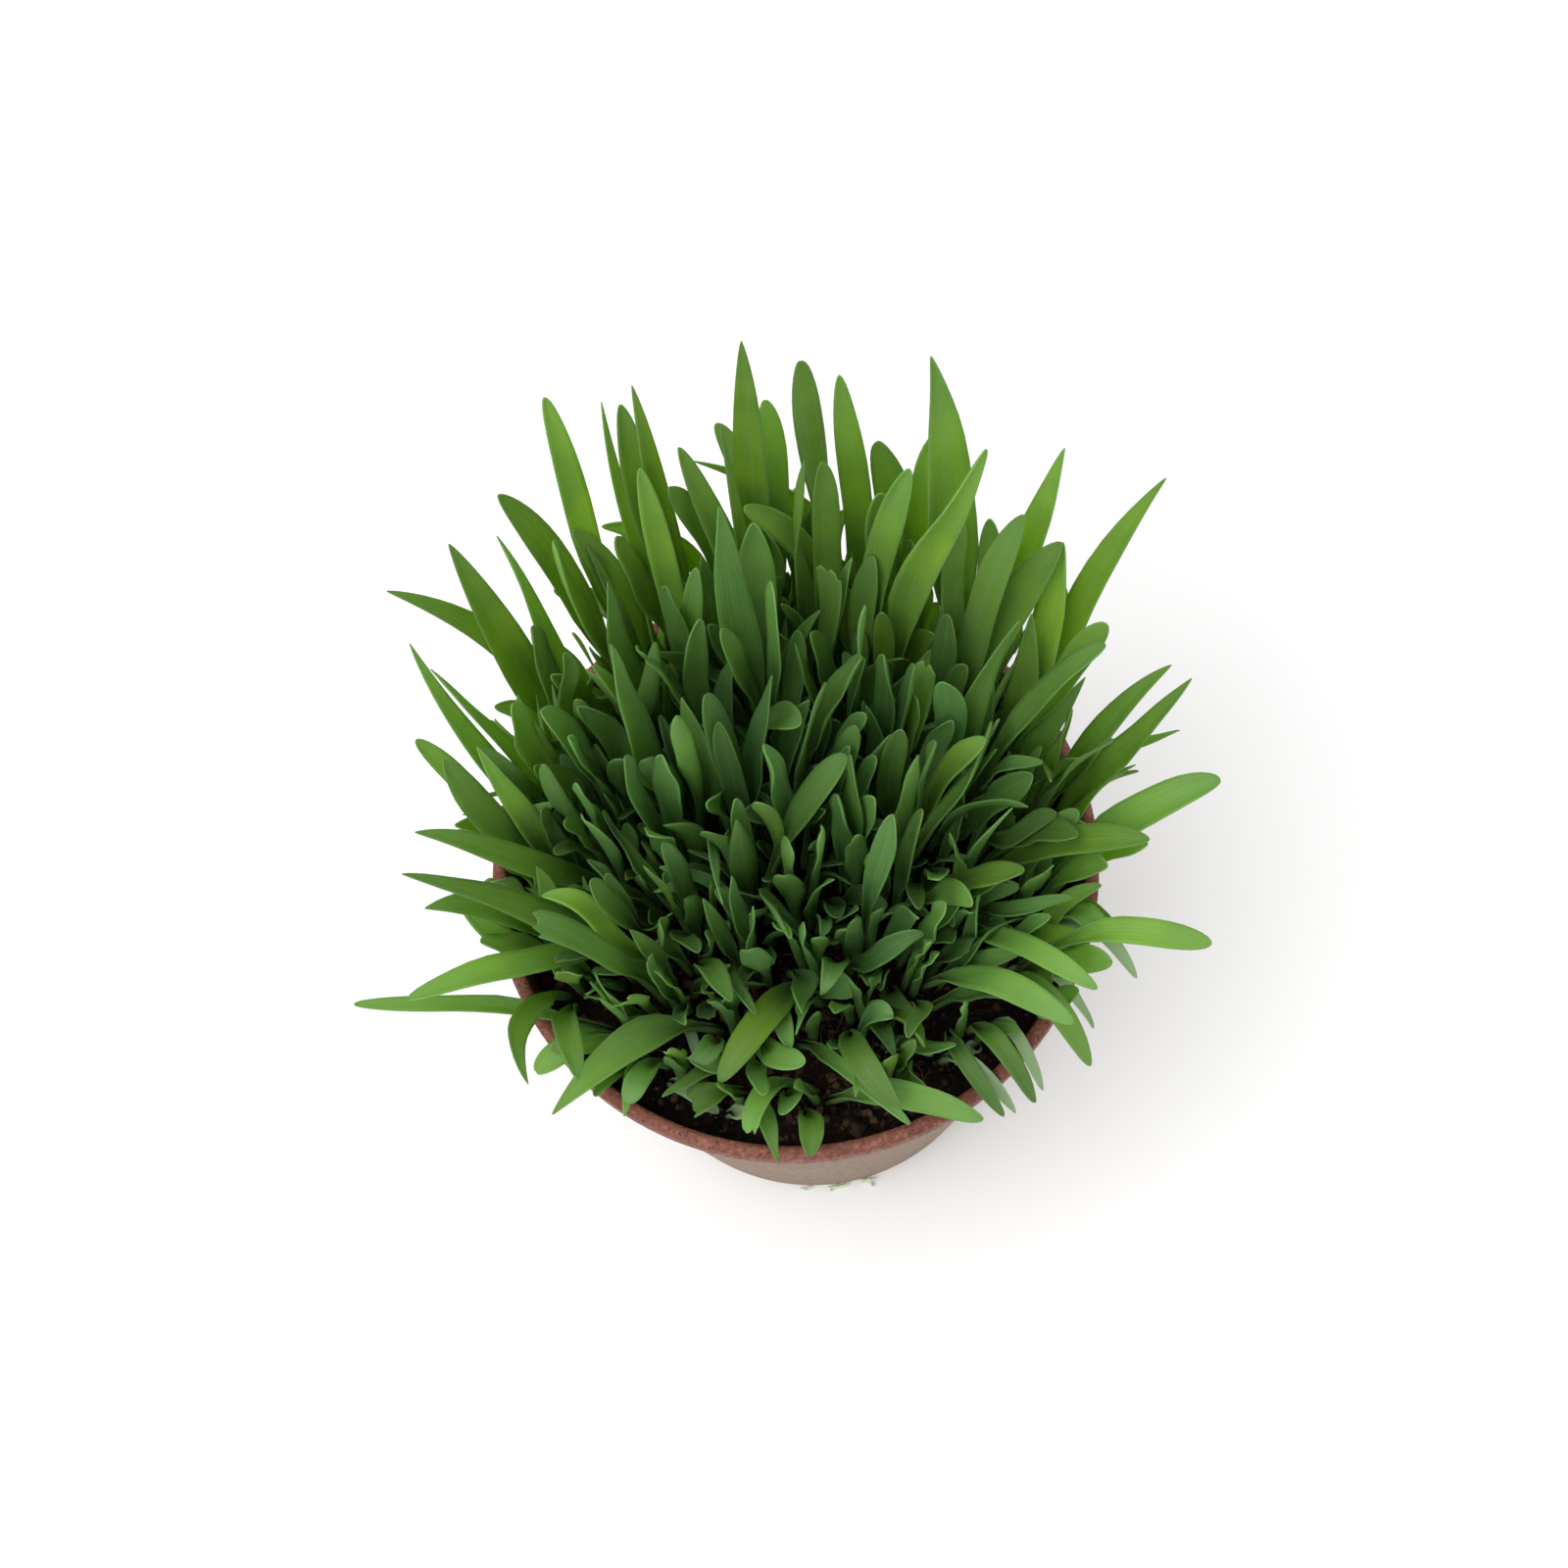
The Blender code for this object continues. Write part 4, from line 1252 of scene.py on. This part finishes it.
def style_leaf(thicket, leaf, chance):
    """The freest style in which a leaf crosses no other, or its plainest if none is clear."""
    for k in range(STYLE_TRIES + 1):
        style = Style(chance, leaf, 1 - k / STYLE_TRIES)
        surface = thicket.measure(leaf, style)
        if not thicket.crosses(surface) and clear_of_rim(surface[3][TEST_COLUMNS + 1:]):
            break
    thicket.add(surface)
    return style


def frontness(place):
    """0 in the tall back of the plant and 1 in its low front."""
    return smooth_step(*FRONT_FADE, -place.y)


def rooted(place):
    """A stem's start at a place, a little under the soil's even top."""
    place.z = soil_height(place.x, place.y) - STEM_DEPTH
    return place


def undergrowth_maker(place, chance):
    """Late leaves between the others: slender behind, low, broad and arching in front."""
    front = frontness(place)
    slope = RISE_TO_BACK if place.y > 0 else FALL_TO_FRONT
    tall = LEAF_HEIGHT + slope * place.y + SOIL_DROP
    height = tall * chance.uniform(*UNDERGROWTH_HEIGHTS)
    outline = chance.choice(UNDERGROWTH_OUTLINES)
    width = 2 * MM + height * chance.uniform(*UNDERGROWTH_WIDTH_SHARES)
    width += front * chance.uniform(*UNDERGROWTH_FRONT_WIDTH) * MM
    leans = (0.02 + 0.25 * front, 0.22 + 0.5 * front)
    lifts = (0.1 * front, 0.08 + 0.32 * front)

    def make(loose):
        away = polar(chance.uniform(0, 360), chance.uniform(*UNDERGROWTH_ROOTS) * MM)
        root = rooted(place + away)
        outward = math.degrees(math.atan2(root.y, root.x))
        bearing = outward + chance.gauss(0, UNDERGROWTH_SPREAD)
        tip = root + polar(bearing, height * chance.uniform(*leans))
        tip.z = root.z + height * (1 - 0.35 * loose)
        bow = chance.uniform(-3, 3) * MM
        lift = height * chance.uniform(*lifts)
        roll = chance.gauss(0, UNDERGROWTH_ROLL[0] - UNDERGROWTH_ROLL[1] * front)
        return Leaf(root, tip, width * (1 - 0.45 * loose), lift, roll, outline, bow)

    return make


def grow_undergrowth(thicket, tuft, chance, wanted):
    """More leaves for a tuft, where there is room, from spots around its crown."""
    grown = []
    for _ in range(wanted):
        make = undergrowth_maker(tuft.place, chance)
        for k in range(UNDERGROWTH_TRIES):
            leaf = make(k / UNDERGROWTH_TRIES)
            style = Style(chance, leaf, 1.0, small=True)
            if math.hypot(leaf.root.x, leaf.root.y) > soil_radius(SOIL_TOP) - WALL_ROOT_GAP:
                continue
            surface = thicket.measure(leaf, style)
            if clear_of_rim(surface[3]) and not thicket.crosses(surface):
                thicket.add(surface)
                grown.append((leaf, style))
                break
    return grown


def leaf_tone(leaf, chance):
    """How yellow a leaf is: bluish in the middle of the plant, painted yellower at its outside and
    back for the light that shines through there, with a random share that is its own.
    """
    outside = smooth_step(*BACKLIT_OUTSIDE, math.hypot(leaf.tip.x, leaf.tip.y))
    odd = 0.5 * (chance.random() < 0.10)
    behind = 0.35 * smooth_step(*BACKLIT_BEHIND, leaf.root.y)
    # painted light: the share from the outside and back stands in for light shining through the
    # leaves there; the random share is their own tone
    backlit_share = 0.58 * outside * (1 - 0.45 * frontness(leaf.root)) + behind
    return min(1.0, backlit_share + chance.uniform(0.0, 0.42) + odd)


def blades_shape():
    """A bmesh for blades, and its layers by name."""
    shape = bmesh.new()
    return shape, {name: shape.verts.layers.float.new(name) for name in LEAF_LAYERS}


def add_leaf(shape, leaf, style, layers, **looks):
    """One blade: a grid laid along the leaf's spine, with its place stored for the material."""
    made = bmesh.ops.create_grid(shape, x_segments=LEAF_COLUMNS, y_segments=LEAF_ROWS, size=1.0)
    for vert in made["verts"]:
        across = vert.co.x
        along = math.sin((vert.co.y + 1) / 2 * math.pi / 2)
        for name, value in {"across": across, "along": along, **looks}.items():
            vert[layers[name]] = value
        vert.co = leaf_point(leaf, style, across, along)


def finish_blades(name, shape, material, settings):
    """Turns blades into a piece, with half of their thickness on each side."""
    bmesh.ops.remove_doubles(shape, verts=shape.verts, dist=LEAF_WELD)
    piece = finish_piece(name, shape, material)
    solid = piece.modifiers.new("Thickness", "SOLIDIFY")
    solid.thickness = settings.leaf_thickness
    solid.offset = 0.0
    return piece


def make_sprouts(settings, material):
    """Pale late sprouts in the bare front, some of them over the rim."""
    chance = random.Random(settings.seed + 3)
    shape, layers = blades_shape()
    for root_bearing, root_radius, tip_bearing, tip_radius, height, width, lift in SPROUTS:
        root = rooted(polar(root_bearing, root_radius * MM))
        tip = polar(tip_bearing, tip_radius * MM)
        tip.z = soil_height(tip.x, tip.y) + height * MM
        leaf = Leaf(root, tip, width * MM, lift * MM, chance.uniform(-30, 30), "strap")
        style = Style(chance, leaf, 0.6)
        add_leaf(shape, leaf, style, layers, tone=0.2, light=chance.random(), pale=0.75)
    finish_blades("pale_sprouts", shape, material, settings)


def make_grass(settings):
    """Every tuft: its leaves as thin solid blades, standing for the tuft's solid."""
    tufts = grow_tufts()
    material = leaf_material(settings)
    thicket = Thicket()
    chance = random.Random(settings.seed)
    blades = []
    for tuft in tufts:
        blades.append([(leaf, style_leaf(thicket, leaf, chance)) for leaf in tuft.leaves])
    for tuft, standing in zip(tufts, blades):
        wanted = round(settings.undergrowth * (1 - 0.5 * frontness(tuft.place)))
        if tuft.place.y < -BARE_FRONT:
            wanted = settings.front_undergrowth
        standing += grow_undergrowth(thicket, tuft, chance, wanted)
    for number, standing in enumerate(blades, start=1):
        shape, layers = blades_shape()
        for leaf, style in standing:
            tone = leaf_tone(leaf, chance)
            add_leaf(shape, leaf, style, layers, tone=tone, light=chance.random(), pale=0.0)
        piece = finish_blades(f"grass_leaves_{number:02d}", shape, material, settings)
        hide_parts(f"grass_tuft_{number:02d}")
    make_sprouts(settings, material)


def make_roots(settings):
    """Pale roots that have crept out under the foot."""
    chance = random.Random(settings.seed + 4)
    shape, tone_layer = bits_shape()
    for bearing, radius, wanted in STRAY_ROOTS:
        for _ in range(wanted):
            heading = bearing + chance.choice((-90, 90)) + chance.uniform(-30, 30)
            start = bearing + chance.uniform(-3, 3)
            place = polar(start, radius * MM - 1.2 * MM, ROOT_LEAST_HEIGHT)
            points = []
            for _ in range(ROOT_POINTS):
                points.append(place.copy())
                heading += chance.uniform(-ROOT_TURN, ROOT_TURN)
                place = place + polar(heading, chance.uniform(*ROOT_STEP) * MM)
                place.z = max(ROOT_LEAST_HEIGHT, place.z + chance.uniform(*ROOT_RISE) * MM)
                nearest = outer_radius(place.z) + ROOT_GAP
                if math.hypot(place.x, place.y) < nearest:
                    place = polar(math.degrees(math.atan2(place.y, place.x)), nearest, place.z)
            girth = chance.uniform(*ROOT_RADIUS) * MM
            add_thread(shape, tone_layer, points, girth, chance.uniform(0.5, 1.0), ROOT_SIDES)
    bmesh.ops.recalc_face_normals(shape, faces=shape.faces)
    finish_piece(
        "stray_roots", shape, bit_material("root", ROOT_COLOURS), THREAD_SMOOTH
    )


# stage


CAMERA_ELEVATION = math.radians(70.1)
CAMERA_DISTANCE = 0.468
CAMERA_AIM = Vector((0, 0.0161, POT_HEIGHT))
CAMERA_LENS = 54.4
CAMERA_ROLL = math.radians(-7.53)
KEY_PLACE = (-0.5, -0.3, 1.3)
KEY_SIZE = 1.0
FLOOR_SIZE = 3.0


def looking(place, aim):
    """The matrix of a camera or a light at a place, turned to a point."""
    turn = (Vector(place) - aim).to_track_quat("Z", "Y").to_matrix().to_4x4()
    return Matrix.Translation(place) @ turn


def make_camera():
    """Steeply from the front, a little turned about the view."""
    back = CAMERA_DISTANCE * math.cos(CAMERA_ELEVATION)
    rise = CAMERA_DISTANCE * math.sin(CAMERA_ELEVATION)
    camera = add_object("camera", bpy.data.cameras.new("camera"))
    camera.data.lens = CAMERA_LENS
    camera.data.clip_start = 0.01
    view = looking((0, -back, POT_HEIGHT + rise), CAMERA_AIM)
    camera.matrix_world = view @ Matrix.Rotation(CAMERA_ROLL, 4, "Z")
    bpy.context.scene.camera = camera


def make_key_light(settings):
    """A broad soft light above the front left."""
    light = bpy.data.lights.new("key", "AREA")
    light.size = KEY_SIZE
    light.energy = settings.key_light
    add_object("key", light).matrix_world = looking(KEY_PLACE, Vector((0, 0, 0.1)))


def make_floor(settings):
    """A plain pale floor under the pot."""
    shape = bmesh.new()
    bmesh.ops.create_grid(shape, x_segments=1, y_segments=1, size=FLOOR_SIZE)
    floor = mesh_object("floor", shape)
    material, _, shader = new_material("floor")
    put(shader, "Base Color", settings.floor_colour)
    put(shader, "Roughness", 0.9)
    floor.data.materials.append(material)


def make_world(settings):
    """Even white light from all round."""
    world = bpy.data.worlds.new("studio")
    world.use_nodes = True
    background = world.node_tree.nodes["Background"]
    put(background, "Color", (1, 1, 1))
    put(background, "Strength", settings.fill_light)
    bpy.context.scene.world = world


# the add-on


def tint(name, description, *shade):
    """A colour that a user may change."""
    return bpy.props.FloatVectorProperty(
        name=name, description=description, default=shade, subtype="COLOR"
    )


def whole_number(name, description, number):
    """A whole number that a user may change."""
    return bpy.props.IntProperty(name=name, description=description, default=number, min=0)


class CatGrassSettings(bpy.types.PropertyGroup):
    """Sizes and colours that a user may change before making the pieces."""

    seed: whole_number("Seed", "Seed of every random choice", 5)
    pot_segments: whole_number("Pot segments", "Steps round the pot", 144)
    soil_rings: whole_number("Soil rings", "Rings of faces on the soil's top", 110)
    soil_segments: whole_number("Soil segments", "Steps round the soil", 300)
    crumb_count: whole_number("Crumbs", "Loose crumbs on the soil", 2600)
    fibre_count: whole_number("Fibres", "Peat fibres on the soil", 160)
    undergrowth: whole_number("Undergrowth", "Small leaves tried for each tuft", 13)
    front_undergrowth: whole_number("Front undergrowth", "Small leaves tried in the bare front", 1)
    leaf_thickness: bpy.props.FloatProperty(
        name="Leaf thickness", description="Thickness of a blade", default=0.3 * MM, unit="LENGTH"
    )
    light_through: bpy.props.FloatProperty(
        name="Light through leaves",
        description="Share of light that shines through",
        default=0.42,
        subtype="FACTOR",
    )
    bloom_green: tint("Bluish green", "Leaves in the middle of the plant", 0.085, 0.215, 0.07)
    # painted light: the outer and back leaves lean towards this green for the light shining
    # through them, besides their own random tone
    fresh_and_backlit_green: tint("Fresh and backlit green", "Leaves at the outside and back of the plant, painted yellower for light shining through", 0.245, 0.415, 0.016)
    # the older green also serves as painted shade towards each blade's base
    older_green_and_base_shade: tint("Older green and base shade", "Darker patches on the leaves and painted shade at their bases", 0.045, 0.14, 0.03)
    tip_green: tint("Tip", "Paler green towards the tips", 0.19, 0.35, 0.115)
    margin_green: tint("Margin", "Pale edge and rib of the blades", 0.20, 0.38, 0.17)
    sheath_green: tint("Sheath", "Pale lower stem", 0.22, 0.34, 0.13)
    through_green: tint("Light through", "Light that a blade lets through", 0.46, 0.72, 0.012)
    pale_green: tint("Pale green", "Sprouts that grew in the dark", 0.46, 0.60, 0.38)
    rim_brown: tint("Rim", "Reddish brown of the rim", 0.17, 0.053, 0.034)
    wall_taupe: tint("Wall", "Pale taupe of the outer wall", 0.235, 0.155, 0.098)
    soil_dark: tint("Damp soil", "Darkest soil", 0.0018, 0.0012, 0.0009)
    soil_brown: tint("Dry soil", "Browner soil", 0.012, 0.0065, 0.0042)
    floor_colour: tint("Floor", "Colour of the floor", 0.9, 0.9, 0.9)
    fill_light: bpy.props.FloatProperty(
        name="Fill light", description="Strength of the even light all round", default=0.9
    )
    key_light: bpy.props.FloatProperty(
        name="Key light",
        description="Power of the soft light above the front left",
        default=12.0,
        unit="POWER",
    )


class MakePot(bpy.types.Operator):
    """Make the nursery pot with its rim, foot and drain holes"""

    bl_idname = "cat_grass.make_pot"
    bl_label = "Make pot"

    def execute(self, context):
        make_pot(context.scene.cat_grass)
        return {"FINISHED"}


class MakeSoil(bpy.types.Operator):
    """Make the soil with its loose crumbs and fibres"""

    bl_idname = "cat_grass.make_soil"
    bl_label = "Make soil"

    def execute(self, context):
        settings = context.scene.cat_grass
        make_soil(settings)
        make_crumbs(settings)
        make_fibres(settings)
        return {"FINISHED"}


class MakeRoots(bpy.types.Operator):
    """Make the pale roots at the pot's foot"""

    bl_idname = "cat_grass.make_roots"
    bl_label = "Make roots"

    def execute(self, context):
        make_roots(context.scene.cat_grass)
        return {"FINISHED"}


class MakeGrass(bpy.types.Operator):
    """Make the leaves of every tuft"""

    bl_idname = "cat_grass.make_grass"
    bl_label = "Make grass"

    def execute(self, context):
        make_grass(context.scene.cat_grass)
        return {"FINISHED"}


class MakeStage(bpy.types.Operator):
    """Make the floor, the lights and the camera"""

    bl_idname = "cat_grass.make_stage"
    bl_label = "Make stage"

    def execute(self, context):
        settings = context.scene.cat_grass
        make_camera()
        make_world(settings)
        make_floor(settings)
        make_key_light(settings)
        context.scene.view_settings.view_transform = "Standard"
        return {"FINISHED"}


class CatGrassPanel(bpy.types.Panel):
    """Lists the steps that make the plant"""

    bl_idname = "VIEW3D_PT_cat_grass"
    bl_label = "Cat grass"
    bl_space_type = "VIEW_3D"
    bl_region_type = "UI"
    bl_category = "Cat grass"

    def draw(self, context):
        for name in CatGrassSettings.__annotations__:
            self.layout.prop(context.scene.cat_grass, name)
        for operator in OPERATORS:
            self.layout.operator(operator.bl_idname)


OPERATORS = (MakeStage, MakePot, MakeSoil, MakeRoots, MakeGrass)
CLASSES = (CatGrassSettings, *OPERATORS, CatGrassPanel)


def register():
    """Makes the add-on's classes and its settings known to Blender."""
    for cls in CLASSES:
        bpy.utils.register_class(cls)
    bpy.types.Scene.cat_grass = bpy.props.PointerProperty(type=CatGrassSettings)


def unregister():
    """Takes the add-on's settings and classes out again."""
    del bpy.types.Scene.cat_grass
    for cls in reversed(CLASSES):
        bpy.utils.unregister_class(cls)


def main():
    """Registers the add-on and makes every piece in order."""
    register()
    bpy.ops.cat_grass.make_stage()
    bpy.ops.cat_grass.make_pot()
    bpy.ops.cat_grass.make_soil()
    bpy.ops.cat_grass.make_roots()
    bpy.ops.cat_grass.make_grass()


if __name__ == "__main__":
    main()
